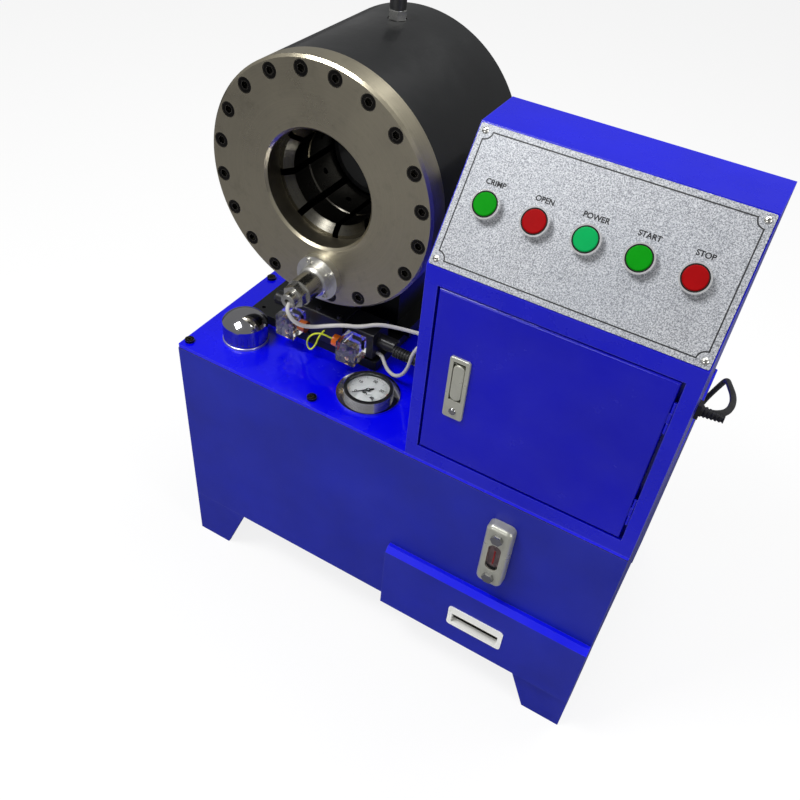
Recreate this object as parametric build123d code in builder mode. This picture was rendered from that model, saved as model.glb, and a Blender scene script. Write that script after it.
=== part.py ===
from build123d import *
import os
from math import cos, radians, sin, tan

# Hydraulic hose crimping machine, in millimetres.
# +Z is up, +X is to the operator's right, and the operator stands at -Y.
# The origin is on the floor, at the middle of the machine's box.

# Tank, lid and feet
tank_width = 650.0
tank_depth = 395.0
tank_wall = 4.0
tank_rim = 18.0
foot_height = 88.0
foot_top = 93.0
foot_bottom = 57.0
foot_plate = 5.0
lid_top = 395.5
lid_plate = 5.0
gasket = 1.5
lid_screw_inset = 9.0
lid_screw_front_inset = 14.0
lid_screw_second = 203.0
lid_screw_third = 416.0
lid_screw_side = 200.0
lid_screw_head = 6.5
lid_screw_height = 4.0
lid_screw_shank = 4.0

# Drawer and its bay
drawer_front_width = 296.0
drawer_front_top = 211.0
drawer_front_bottom = 86.0
drawer_stand = 13.0
drawer_bevel = 7.0
drawer_sheet = 2.0
drawer_depth = 325.0
drawer_wall_top = 190.0
drawer_play = 1.0
bay_clearance = 4.0
runner_width = 16.0
runner_height = 4.0
pull_width = 82.0
pull_height = 40.0
pull_rim = 5.0
pull_depth = 11.0
pull_plate = 1.2
pull_lip = 6.0
pull_offset = 149.0
pull_z = 143.0

# Fluid level gauge on the tank's front
gauge_stand = 20.0
level_width = 35.0
level_height = 108.0
level_bolt_pitch = 76.0
level_center_z = 303.0
level_offset = 147.0
level_slot = 17.0
level_window = 48.0
level_bolt = 5.0
level_bolt_head = 8.0
level_bolt_height = 5.0
level_wall = 4.0

# Control cabinet
cabinet_width = 290.0
cabinet_depth = 161.0
cabinet_front_top = 669.0
cabinet_top = 789.0
slope_run = 88.0
cabinet_sheet = 2.0
door_width = 254.0
door_height = 229.0
door_bottom = 418.0
door_margin = 19.0
door_gap = 3.5
door_play = 2.0
door_fold = 10.0
door_bend = 3.0
door_lip = 10.0
hinge_pin = 1.0
hinge_barrel = 1.6
hinge_length = 40.0
hinge_inset = 25.0

# Door lock
lock_width = 24.5
lock_height = 86.0
lock_plate = 3.0
lock_body_width = 19.0
lock_body_height = 78.0
lock_body_depth = 14.0
lock_play = 0.6
lock_floor_room = 1.6
lock_top_room = 0.7
lock_handle_width = 14.0
lock_handle_length = 50.0
lock_handle_thick = 6.0
lock_handle_top = 6.0
lock_pivot = 1.2
lock_inset = 37.0
lock_center_z = 528.0
lock_button = 4.5
lock_button_z = 496.0
lock_button_bore = 8.0
lock_button_travel = 2.5
lock_button_proud = 2.0
tongue_width = 16.0
tongue_plate = 3.0
tongue_clear = 1.0

# Control panel
panel_width = 287.0
panel_length = 145.0
panel_plate = 1.5
panel_margin = 1.5
panel_corner = 2.0
button_middle = 142.0
button_pitch = 52.0
button_up = 73.0
button_ring = 14.75
button_height = 9.0
button_floor = 2.0
button_barrel = 11.0
button_barrel_length = 26.0
button_nut = 14.0
button_nut_height = 5.0
button_cap = 11.6
button_proud = 1.2
button_stem = 7.0
button_stem_length = 16.0
button_travel = 4.0
contact_width = 26.0
contact_depth = 24.0

# Electrical plate in the cabinet: each device is x, width, depth, height and its rail
board_width = 230.0
board_height = 190.0
board_bottom = 425.0
board_stand = 6.0
board_post_inset = 10.0
board_rail_drop = 60.0
board_rail_rise = 50.0
rail_width = 35.0
rail_stand = 7.5
board_devices = [
    (-70.0, 45.0, 70.0, 75.0, 0.0),
    (-10.0, 45.0, 60.0, 75.0, 0.0),
    (50.0, 36.0, 62.0, 82.0, 0.0),
    (-20.0, 150.0, 40.0, 45.0, -80.0),
]

# Cable entries in the cabinet's sides
gland_thread = 6.0
conduit_radius = 8.0
conduit_root = 6.6
conduit_pitch = 4.0
entry_thread = 3.5
cord_exit_y = 98.0
cord_exit_z = 549.0
conduit_y = 120.0
conduit_z = 36.5
cable_entries = [(115.0, 485.0), (102.0, 505.0)]

# Crimping head
head_from_left = 165.0
head_height = 643.5
head_from_front = 90.0
head_radius = 155.0
head_length = 232.0
flange = 28.0
flange_bore = 73.5
flange_chamfer = 3.0
bolt_circle = 141.0
bolt_count = 20
bolt_first = 9.0
bolt_head = 9.0
bolt_head_room = 0.6
bolt_head_depth = 12.5
bolt_head_height = 12.0
bolt_socket = 5.0
bolt_shank = 6.0
bolt_length = 45.0
cylinder_bore = 130.0
cylinder_bottom = 25.0
sleeve_outer = 58.0
sleeve_inner = 52.0
sleeve_length = 81.0
chamber = 7.0
port_depth = 165.0
port_flat = 12.0
port_sink = 1.5
port_thread = 6.5
port_reach = 12.0
oil_way = 3.0
oil_way_depth = 11.0

# Master dies and the wedge piston
die_count = 8
die_first_angle = 210.0
die_gap = 9.0
die_length = 94.0
die_bore = 59.5
die_mouth = 69.0
die_mouth_depth = 9.5
die_groove_at = 40.0
die_groove = 1.5
die_outer = 118.0
die_pin = 4.0
die_pin_depth = 12.0
die_pin_at = 68.0
wedge_ratio = 0.287
piston_base = 38.0
wedge_length = 94.0
seal_places = (12.0, 26.0)
seal_width = 8.0
seal_depth = 6.0
running_gap = 0.05
seat_gap = 0.3
key_neck = 10.0
key_head = 18.0
key_neck_height = 4.0
key_head_height = 4.0

# Base plate, saddle and valve under the head
base_plate = 15.0
base_left = 42.0
base_right = 252.0
base_front = 107.0
base_back = 312.0
saddle_width = 150.0
saddle_foot = 190.0
saddle_front = 182.0
saddle_back = 300.0
base_corner = 3.0
base_screw_head = 6.5
base_screw_sink = 6.0
base_screw_places = [
    (56.0, 120.0),
    (56.0, 298.0),
    (240.0, 120.0),
    (240.0, 298.0),
    (116.0, 160.0),
    (163.0, 160.0),
]
valve_y = 127.0
valve_shift = 8.5
valve_size = 46.0
valve_length = 51.0
valve_screw = 4.0
valve_screw_pitch = 33.0
coil_size = 40.0
coil_length = 46.0
coil_corner = 1.5
core_radius = 10.0
core_reach = 27.0

# Plugs on the valve's coils
plug_left = 125.0
plug_right = 222.0
plug_size = 29.0
plug_height = 32.0
plug_reach = 29.0
plug_seat = 3.0
plug_inset = 23.0
plug_gland = 8.0
plug_gland_up = 3.0
plug_gland_length = 12.0

# Motor and pump
motor_from_right = 155.0
motor_y = 280.0
motor_radius = 93.0
motor_core = 82.0
motor_height = 244.0
motor_foot = 14.0
motor_cavity = 62.0
fin_height = 10.0
fin_plate = 3.0
fin_count = 40
fan_cover = 98.0
fan_cover_height = 66.0
cover_overlap = 8.0
cover_bend = 4.0
vent_count = 24
vent_length = 50.0
vent_width = 5.0
box_reach = 150.0
box_width = 70.0
box_height = 90.0
box_bottom = 480.0
shaft = 14.0
rotor_up = 30.0
rotor_core = 150.0
rotor_gap = 1.5
fan_radius = 86.0
fan_hub = 24.0
fan_blade = 3.0
fan_blades = 6
fan_clear = 4.0
bell_flange = 75.0
bell_radius = 60.0
bell_bore = 34.0
bell_plate = 10.0
pump_bell = 60.5
pump_shaft = 30.0
pump_width = 90.0
pump_depth = 70.0
pump_block = 60.0
suction_pipe = 11.0
suction_reach = 40.0
suction_bend = 30.0
suction_bottom = 130.0

# Test port on the head
port_hex = 12.0
port_cap = 10.0
port_cap_length = 22.0

# Pressure gauge and filler in the lid
gauge_x = 267.0
gauge_y = 64.0
gauge_flange = 42.5
gauge_bezel = 33.5
gauge_dial = 28.0
gauge_height = 12.0
gauge_case = 30.0
gauge_case_depth = 28.0
gauge_plate = 3.0
gauge_stem = 7.0
gauge_stem_length = 15.0
gauge_pointer = 22.0
gauge_spindle = 1.2
dial_seat = 3.5
dial_plate = 1.0
spindle_height = 2.6
pointer_seat = 5.6
pointer_plate = 0.8
pointer_half = 1.3
pointer_tail = 8.0
pointer_hub = 3.2
pointer_rest = 225.0
glass_seat = 10.5
glass_plate = 2.0
filler_x = 66.0
filler_y = 65.0
filler_ring = 32.0
filler_neck = 22.0
filler_wall = 1.6
filler_ring_height = 4.0
filler_collar = 14.0
filler_inner = 24.6
filler_cap_radius = 31.0
filler_cap_height = 40.0
filler_dome = 14.0
filler_grip = 1.6
filler_grips = 24
filler_grip_at = 4.0
filler_grip_length = 14.0
strainer_depth = 90.0

# Crimp size scale on the head's front flange
scale_drop = 113.5
scale_shift = 8.0
scale_flange = 30.0
scale_plate = 10.0
scale_neck = 20.0
scale_neck_length = 12.0
scale_probe = 5.0
scale_screw_circle = 24.5
scale_screws = 4
scale_screw_first = 30.0
scale_screw = 2.5
scale_screw_reach = 14.0
knob_sleeve = 17.0
knob_sleeve_length = 26.0
knob_hex = 15.6
knob_hex_length = 12.0
knob_nose = 10.0
knob_nose_length = 12.0
knob_bore = 4.0

# Cords, as corner points measured from the tank's front left corner
cord_diameter = 8.0
cable_diameter = 5.0
wire_diameter = 2.4
bend_share = 0.45
sensor_points = [
    (173.0, 46.0, 530.0),
    (173.0, 14.0, 530.0),
    (180.0, 13.0, 512.0),
    (187.0, 24.0, 497.0),
    (196.0, 38.0, 490.0),
    (211.0, 47.0, 493.0),
    (230.0, 56.0, 497.0),
    (248.0, 66.0, 496.0),
    (267.0, 81.0, 500.0),
    (294.0, 98.0, 493.0),
    (322.0, 109.0, 488.0),
    (348.0, 115.0, 485.0),
    (364.0, 115.0, 485.0),
]
solenoid_points = [
    (245.0, 120.0, 417.0),
    (253.0, 120.0, 417.0),
    (262.0, 112.0, 412.0),
    (272.0, 106.5, 406.5),
    (285.0, 102.5, 407.0),
    (297.0, 100.0, 418.0),
    (305.0, 98.0, 437.0),
    (309.0, 97.0, 462.0),
    (320.0, 99.0, 482.0),
    (333.0, 101.0, 497.0),
    (348.0, 102.0, 505.0),
    (364.0, 102.0, 505.0),
]
earth_points = [
    (205.0, 89.5, 436.5),
    (190.0, 89.5, 436.5),
    (180.0, 86.0, 441.0),
    (170.0, 82.0, 440.0),
    (161.0, 80.0, 431.0),
    (157.5, 80.0, 417.0),
    (163.0, 80.5, 408.0),
    (170.0, 83.0, 418.0),
    (170.0, 92.0, 430.0),
    (170.0, 104.0, 430.0),
]
power_points = [
    (643.0, 98.0, 549.0),
    (662.0, 98.0, 549.0),
    (675.0, 116.0, 541.0),
    (681.0, 148.0, 524.0),
    (683.0, 192.0, 502.0),
    (680.0, 250.0, 471.0),
    (673.0, 305.0, 441.0),
    (667.0, 356.0, 413.0),
    (662.0, 408.0, 365.0),
    (646.0, 428.0, 300.0),
    (640.0, 434.0, 230.0),
    (636.0, 438.0, 155.0),
    (632.0, 442.0, 92.0),
    (629.0, 449.0, 48.0),
    (624.0, 463.0, 17.0),
    (617.0, 486.0, 5.0),
    (611.0, 506.0, 4.0),
]

# Cord coil on the floor and the plug at its end
coil_x = 560.0
coil_y = 500.0
coil_turn = 50.0
coil_band = 12.0
coil_height = 16.0
plug_width = 34.0
plug_body = 38.0
plug_grip = 28.0
plug_x = 520.0
plug_z = 12.0
plug_tail = 28.0
plug_pin = 2.4
plug_pin_length = 19.0
plug_pin_pitch = 19.0

# Cable glands
gland_flange = 11.0
gland_length = 4.5
small_gland = 6.0

# Places worked out from the sizes above
left = -tank_width / 2
right = tank_width / 2
front = -(tank_depth - gauge_stand) / 2
back = front + tank_depth
tank_top = lid_top - lid_plate - gasket
bay_left = right - drawer_front_width
bay_top = drawer_front_top - bay_clearance
head_x = left + head_from_left
head_front = front + head_from_front
head_back = head_front + head_length
flange_back = head_front + flange
cabinet_left = right - cabinet_width
cabinet_back = front + cabinet_depth
slope_rise = cabinet_top - cabinet_front_top
slope_length = (slope_run**2 + slope_rise**2) ** 0.5
slope_normal = (0.0, -slope_rise / slope_length, slope_run / slope_length)
motor_at = (right - motor_from_right, front + motor_y)
head_axis = Axis((head_x, 0, head_height), (0, 1, 0))

os.makedirs("parts", exist_ok=True)


def slab(x0, x1, y0, y1, z0, z1, mode=Mode.ADD):
    """A block between two corners, joined to the part that is being built."""
    with Locations(((x0 + x1) / 2, (y0 + y1) / 2, (z0 + z1) / 2)):
        Box(x1 - x0, y1 - y0, z1 - z0, mode=mode)


def front_plane(y):
    """A plane that faces the operator, with X to the right and Z up."""
    return Plane(origin=(0, y, 0), x_dir=(1, 0, 0), z_dir=(0, -1, 0))


def head_plane(y):
    """A front plane centred on the head's axis."""
    return Plane(origin=(head_x, y, head_height), x_dir=(1, 0, 0), z_dir=(0, -1, 0))


def side_plane(x):
    """A plane that faces right, with Y to the right in the sketch and Z up."""
    return Plane(origin=(x, 0, 0), x_dir=(0, 1, 0), z_dir=(1, 0, 0))


def slope_plane(lift=0.0, x=0.0):
    """The control panel's slope; sketch Y runs up the slope from its lower edge."""
    base = Plane(
        origin=(x, front, cabinet_front_top), x_dir=(1, 0, 0), z_dir=slope_normal
    )
    return base.offset(lift)


def lid_screw_places():
    """Centres of the lid's screws, round the part of the rim that the cabinet leaves free."""
    near_x = left + lid_screw_inset
    far_x = right - lid_screw_inset
    near_y = front + lid_screw_front_inset
    far_y = back - lid_screw_inset
    along = [near_x, near_x + lid_screw_second, near_x + lid_screw_third, far_x]
    row_back = [(x, far_y) for x in along]
    row_front = [(x, near_y) for x in along[:2]]
    sides = [(near_x, front + lid_screw_side), (far_x, front + lid_screw_side)]
    return row_front + sides + row_back


def level_bolt_places():
    """Centres of the two bolts that hold the fluid level gauge."""
    x = right - level_offset
    half = level_bolt_pitch / 2
    return [(x, level_center_z - half), (x, level_center_z + half)]


# Oil tank: a welded sheet box with a rim for the lid and a bay for the drawer
with BuildPart() as oil_tank:
    slab(left, right, front, back, foot_height, tank_top)
    with BuildSketch(front_plane(back - tank_wall)):
        with BuildLine():
            Polyline(
                (left + tank_wall, foot_height + tank_wall),
                (bay_left - tank_wall, foot_height + tank_wall),
                (bay_left - tank_wall, bay_top + tank_wall),
                (right - tank_wall, bay_top + tank_wall),
                (right - tank_wall, tank_top - 2 * tank_wall),
                (left + tank_wall, tank_top - 2 * tank_wall),
                close=True,
            )
        make_face()
    extrude(amount=tank_depth - 2 * tank_wall, mode=Mode.SUBTRACT)
    slab(
        left + tank_rim, right - tank_rim, front + tank_rim, back - tank_rim,
        tank_top - 3 * tank_wall, tank_top, mode=Mode.SUBTRACT,
    )
    slab(
        bay_left, right - tank_wall, front, back - tank_wall,
        foot_height + tank_wall, bay_top, mode=Mode.SUBTRACT,
    )
    for runner_x in (bay_left, right - tank_wall - runner_width):
        slab(
            runner_x, runner_x + runner_width, front + tank_wall, back - tank_wall,
            foot_height + tank_wall, foot_height + tank_wall + runner_height,
        )
    with BuildSketch(Plane.XY.offset(tank_top)):
        with Locations(*lid_screw_places()):
            Circle(lid_screw_shank + running_gap)
    extrude(amount=-2 * tank_wall, mode=Mode.SUBTRACT)
    with BuildSketch(front_plane(front)):
        with Locations(*level_bolt_places()):
            Circle(level_bolt + running_gap)
    extrude(amount=-tank_wall, mode=Mode.SUBTRACT)
oil_tank.part.label = "oil_tank"
export_step(oil_tank.part, "parts/oil_tank.step")

# Feet: four folded corner legs, each a pair of tapered plates
with BuildPart() as tank_feet:
    taper = [(0, 0), (foot_top, 0), (foot_bottom, -foot_height), (0, -foot_height)]
    for side_x, corner_x in ((-1, left), (1, right)):
        for side_y, corner_y in ((-1, front), (1, back)):
            with BuildSketch(front_plane(corner_y)):
                with BuildLine():
                    Polyline(
                        *[(corner_x - side_x * u, foot_height + v) for u, v in taper],
                        close=True,
                    )
                make_face()
            extrude(amount=side_y * foot_plate)
            with BuildSketch(side_plane(corner_x)):
                with BuildLine():
                    Polyline(
                        *[(corner_y - side_y * u, foot_height + v) for u, v in taper],
                        close=True,
                    )
                make_face()
            extrude(amount=-side_x * foot_plate)
tank_feet.part.label = "tank_feet"
export_step(tank_feet.part, "parts/tank_feet.step")

# Lid: one plate with holes for the filler, the gauge, the motor's shaft and the screws
with BuildPart() as tank_lid:
    slab(left, right, front, back, lid_top - lid_plate, lid_top)
    fillet(tank_lid.edges().filter_by(Axis.Z), radius=lid_plate / 2)
    with BuildSketch(Plane.XY.offset(lid_top)):
        with Locations((left + filler_x, front + filler_y)):
            Circle(filler_neck + seat_gap)
        with Locations((left + gauge_x, front + gauge_y)):
            Circle(gauge_case + seat_gap)
        with Locations(motor_at):
            Circle(shaft + seat_gap)
        with Locations(*lid_screw_places()):
            Circle(lid_screw_shank + running_gap)
    extrude(amount=-lid_plate, mode=Mode.SUBTRACT)
tank_lid.part.label = "tank_lid"
export_step(tank_lid.part, "parts/tank_lid.step")

# Gasket between the tank's rim and the lid
with BuildPart() as lid_gasket:
    with BuildSketch(Plane.XY.offset(tank_top)):
        with Locations(((left + right) / 2, (front + back) / 2)):
            Rectangle(tank_width - 1, tank_depth - 1)
            Rectangle(tank_width - 2 * tank_rim, tank_depth - 2 * tank_rim, mode=Mode.SUBTRACT)
        with Locations(*lid_screw_places()):
            Circle(lid_screw_shank + running_gap, mode=Mode.SUBTRACT)
    extrude(amount=gasket)
lid_gasket.part.label = "lid_gasket"
export_step(lid_gasket.part, "parts/lid_gasket.step")

# Lid screws: button heads with a hexagon socket
with BuildPart() as lid_screws:
    with BuildSketch(Plane.XY.offset(lid_top)):
        with Locations(*lid_screw_places()):
            Circle(lid_screw_head)
    extrude(amount=lid_screw_height)
    fillet(lid_screws.faces().sort_by(Axis.Z)[-1:].edges(), radius=lid_screw_height / 2)
    for place in lid_screw_places():
        with BuildSketch(Plane.XY.offset(lid_top + lid_screw_height)):
            with Locations(place):
                RegularPolygon(lid_screw_shank * 0.7, 6)
        extrude(amount=-lid_screw_height / 2, mode=Mode.SUBTRACT)
    with BuildSketch(Plane.XY.offset(lid_top)):
        with Locations(*lid_screw_places()):
            Circle(lid_screw_shank)
    extrude(amount=-(lid_top - tank_top) - 2 * tank_wall)
lid_screws.part.label = "lid_screws"
export_step(lid_screws.part, "parts/lid_screws.step")

# Filler neck with its strainer basket, seated on the lid
with BuildPart() as filler_neck_part:
    with BuildSketch(Plane(origin=(left + filler_x, front + filler_y, lid_top),
                           x_dir=(1, 0, 0), z_dir=(0, -1, 0))):
        with BuildLine():
            Polyline(
                (0, -strainer_depth),
                (filler_neck, -strainer_depth),
                (filler_neck, 0),
                (filler_ring, 0),
                (filler_ring, filler_ring_height),
                (filler_neck + filler_wall, filler_ring_height),
                (filler_neck + filler_wall, filler_collar),
                (filler_neck - filler_wall, filler_collar),
                (filler_neck - filler_wall, filler_wall - strainer_depth),
                (0, filler_wall - strainer_depth),
                close=True,
            )
        make_face()
    revolve(axis=Axis((left + filler_x, front + filler_y, 0), (0, 0, 1)))
    fillet(
        filler_neck_part.edges().filter_by(GeomType.CIRCLE)
        .filter_by(lambda e: abs(e.radius - filler_ring) < 0.01).sort_by(Axis.Z)[-1:],
        radius=filler_ring_height / 3,
    )
filler_neck_part.part.label = "filler_neck"
export_step(filler_neck_part.part, "parts/filler_neck.step")

# Filler cap: a domed breather cap that lifts off its collar
dome_radius = (filler_cap_radius**2 + filler_dome**2) / (2 * filler_dome)
cap_top = lid_top + filler_ring_height + filler_cap_height
with BuildPart() as filler_cap:
    with BuildSketch(Plane.XY.offset(lid_top + filler_ring_height + seat_gap)):
        with Locations((left + filler_x, front + filler_y)):
            Circle(filler_cap_radius)
    extrude(amount=filler_cap_height - seat_gap)
    with Locations((left + filler_x, front + filler_y, cap_top - dome_radius)):
        Sphere(dome_radius, mode=Mode.INTERSECT)
    with BuildSketch(Plane.XY.offset(lid_top + filler_ring_height + seat_gap)):
        with Locations((left + filler_x, front + filler_y)):
            Circle(filler_inner)
    extrude(amount=filler_collar - filler_ring_height, mode=Mode.SUBTRACT)
    with BuildSketch(Plane.XY.offset(lid_top + filler_ring_height + filler_grip_at)):
        with Locations((left + filler_x, front + filler_y)):
            with PolarLocations(filler_cap_radius + filler_grip / 2, filler_grips):
                Circle(filler_grip)
    extrude(amount=filler_grip_length, mode=Mode.SUBTRACT)
filler_cap.part.label = "filler_cap"
export_step(filler_cap.part, "parts/filler_cap.step")

# Pressure gauge: a liquid-filled case set in the lid, face up
gauge_centre = (left + gauge_x, front + gauge_y)
gauge_axis = Axis((*gauge_centre, 0), (0, 0, 1))
gauge_profile = Plane(origin=(*gauge_centre, lid_top), x_dir=(1, 0, 0), z_dir=(0, -1, 0))
with BuildPart() as gauge_case_part:
    with BuildSketch(gauge_profile):
        with BuildLine():
            Polyline(
                (0, -gauge_case_depth),
                (gauge_case, -gauge_case_depth),
                (gauge_case, 0),
                (gauge_flange, 0),
                (gauge_flange, gauge_plate),
                (gauge_bezel, gauge_plate),
                (gauge_bezel, gauge_height - gauge_plate / 2),
                (gauge_bezel - gauge_plate / 2, gauge_height),
                (gauge_dial, gauge_height),
                (gauge_dial, glass_seat),
                (gauge_dial + gauge_plate / 2, glass_seat),
                (gauge_dial + gauge_plate / 2, dial_seat),
                (0, dial_seat),
                close=True,
            )
        make_face()
    revolve(axis=gauge_axis)
    with BuildSketch(Plane.XY.offset(lid_top - gauge_case_depth)):
        with Locations(gauge_centre):
            Circle(gauge_stem)
    extrude(amount=-gauge_stem_length)
gauge_case_part.part.label = "gauge_case"
export_step(gauge_case_part.part, "parts/gauge_case.step")

# Gauge dial with the spindle that carries the pointer
with BuildPart() as gauge_dial_part:
    with BuildSketch(Plane.XY.offset(lid_top + dial_seat)):
        with Locations(gauge_centre):
            Circle(gauge_dial + gauge_plate / 2 - seat_gap)
    extrude(amount=dial_plate)
    with BuildSketch(Plane.XY.offset(lid_top + dial_seat + dial_plate)):
        with Locations(gauge_centre):
            Circle(gauge_spindle)
    extrude(amount=spindle_height)
gauge_dial_part.part.label = "gauge_dial"
export_step(gauge_dial_part.part, "parts/gauge_dial.step")

# Gauge pointer, at rest on the dial's zero
with BuildPart() as gauge_pointer_part:
    with BuildSketch(Plane(origin=(*gauge_centre, lid_top + pointer_seat),
                           x_dir=(cos(radians(pointer_rest)), sin(radians(pointer_rest)), 0),
                           z_dir=(0, 0, 1))):
        with BuildLine():
            Polyline(
                (gauge_pointer, 0), (0, pointer_half), (-pointer_tail, pointer_half * 0.8),
                (-pointer_tail, -pointer_half * 0.8), (0, -pointer_half), close=True,
            )
        make_face()
        Circle(pointer_hub)
        Circle(gauge_spindle + running_gap, mode=Mode.SUBTRACT)
    extrude(amount=pointer_plate)
gauge_pointer_part.part.label = "gauge_pointer"
export_step(gauge_pointer_part.part, "parts/gauge_pointer.step")

# Gauge glass under the bezel's lip
with BuildPart() as gauge_glass:
    with BuildSketch(Plane.XY.offset(lid_top + glass_seat - glass_plate - seat_gap)):
        with Locations(gauge_centre):
            Circle(gauge_dial + gauge_plate / 2 - seat_gap)
    extrude(amount=glass_plate)
gauge_glass.part.label = "gauge_glass"
export_step(gauge_glass.part, "parts/gauge_glass.step")

# Fluid level gauge: a rounded housing on the tank's front, with a slot for the window
level_x = right - level_offset
with BuildPart() as level_frame:
    with BuildSketch(front_plane(front)):
        with Locations((level_x, level_center_z)):
            RectangleRounded(level_width, level_height, radius=level_width / 4)
    extrude(amount=gauge_stand - level_bolt_height)
    fillet(
        level_frame.faces().sort_by(Axis.Y)[0].edges(),
        radius=level_width / 6,
    )
    with BuildSketch(front_plane(front - gauge_stand + level_bolt_height)):
        with Locations((level_x, level_center_z)):
            SlotOverall(level_window, level_slot, rotation=90)
    extrude(amount=-(gauge_stand - level_bolt_height - level_wall), mode=Mode.SUBTRACT)
    with BuildSketch(front_plane(front - gauge_stand + level_bolt_height)):
        with Locations(*level_bolt_places()):
            Circle(level_bolt + running_gap)
    extrude(amount=-gauge_stand, mode=Mode.SUBTRACT)
level_frame.part.label = "level_gauge_frame"
export_step(level_frame.part, "parts/level_gauge_frame.step")

# Level gauge window: a clear bar with a domed front
with BuildPart() as level_window_part:
    with BuildSketch(front_plane(front - level_wall)):
        with Locations((level_x, level_center_z)):
            SlotOverall(level_window - 2 * seat_gap, level_slot - 2 * seat_gap, rotation=90)
    extrude(amount=gauge_stand - level_bolt_height - level_wall)
    fillet(level_window_part.faces().sort_by(Axis.Y)[0].edges(), radius=level_slot / 5)
level_window_part.part.label = "level_gauge_window"
export_step(level_window_part.part, "parts/level_gauge_window.step")

# Level gauge bolts: hexagon heads, with shanks through the tank's wall
with BuildPart() as level_bolts:
    with BuildSketch(front_plane(front - gauge_stand + level_bolt_height)):
        with Locations(*level_bolt_places()):
            RegularPolygon(level_bolt_head, 6)
    extrude(amount=level_bolt_height)
    with BuildSketch(front_plane(front - gauge_stand + level_bolt_height)):
        with Locations(*level_bolt_places()):
            Circle(level_bolt)
    extrude(amount=-(gauge_stand + tank_wall))
level_bolts.part.label = "level_gauge_bolts"
export_step(level_bolts.part, "parts/level_gauge_bolts.step")

# Drawer: a sheet box on the bay's runners, with a bevelled front panel
drawer_floor = foot_height + tank_wall + runner_height + seat_gap
drawer_left = bay_left + drawer_play
drawer_right = right - tank_wall - drawer_play
panel_back = front - seat_gap
pull_x = right - pull_offset
with BuildPart() as drawer:
    with BuildSketch(side_plane(bay_left)):
        with BuildLine():
            Polyline(
                (panel_back, drawer_front_bottom),
                (front - drawer_stand, drawer_front_bottom),
                (front - drawer_stand, drawer_front_top - drawer_bevel),
                (front - drawer_stand + drawer_bevel, drawer_front_top),
                (panel_back, drawer_front_top),
                close=True,
            )
        make_face()
    extrude(amount=drawer_front_width)
    with BuildSketch(front_plane(front - drawer_stand)):
        with Locations((pull_x, pull_z)):
            RectangleRounded(pull_width - 2 * pull_rim, pull_height - 2 * pull_rim, radius=2)
    extrude(amount=-pull_depth - pull_plate, mode=Mode.SUBTRACT)
    slab(
        drawer_left, drawer_right, panel_back, front + drawer_depth,
        drawer_floor, drawer_wall_top,
    )
    slab(
        drawer_left + drawer_sheet, drawer_right - drawer_sheet,
        panel_back + drawer_sheet, front + drawer_depth - drawer_sheet,
        drawer_floor + drawer_sheet, drawer_wall_top, mode=Mode.SUBTRACT,
    )
drawer.part.label = "drawer"
export_step(drawer.part, "parts/drawer.step")

# Drawer pull: a flush tray with a lip to grip
with BuildPart() as drawer_pull:
    with BuildSketch(front_plane(front - drawer_stand)):
        with Locations((pull_x, pull_z)):
            RectangleRounded(pull_width, pull_height, radius=pull_rim)
    extrude(amount=pull_plate)
    with BuildSketch(front_plane(front - drawer_stand)):
        with Locations((pull_x, pull_z)):
            RectangleRounded(
                pull_width - 2 * pull_rim - 2 * seat_gap,
                pull_height - 2 * pull_rim - 2 * seat_gap, radius=2 - seat_gap,
            )
    extrude(amount=-pull_depth)
    tray = (pull_width / 2 - pull_rim - pull_plate, pull_height / 2 - pull_rim - pull_plate)
    slab(
        pull_x - tray[0], pull_x + tray[0],
        front - drawer_stand - pull_plate, front - drawer_stand + pull_depth - pull_plate,
        pull_z - tray[1], pull_z + tray[1], mode=Mode.SUBTRACT,
    )
    slab(
        pull_x - tray[0], pull_x + tray[0],
        front - drawer_stand - pull_plate, front - drawer_stand,
        pull_z + pull_lip, pull_z + tray[1],
    )
drawer_pull.part.label = "drawer_pull"
export_step(drawer_pull.part, "parts/drawer_pull.step")

# Control cabinet: a folded sheet housing with a sloping panel and a framed doorway
door_right = right - door_margin
door_left = door_right - door_width
door_top = door_bottom + door_height
doorway = (door_left - door_play, door_right + door_gap, door_bottom - door_play, door_top + door_play)
hinge_x = door_right + door_gap / 2
hinge_y = front + hinge_barrel
frame_depth = door_fold + cabinet_sheet + seat_gap
hinge_heights = (door_bottom + hinge_inset, door_top - hinge_inset - hinge_length)
knuckle = hinge_length / 3


def cabinet_outline():
    """The cabinet's side outline, from its front lower corner round to the back."""
    return [
        (front, lid_top),
        (front, cabinet_front_top),
        (front + slope_run, cabinet_top),
        (cabinet_back, cabinet_top),
        (cabinet_back, lid_top),
    ]


def button_places():
    """Centres of the five control stations along the slope."""
    middle = cabinet_left + button_middle
    return [(middle + (i - 2) * button_pitch, button_up) for i in range(5)]


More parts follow.
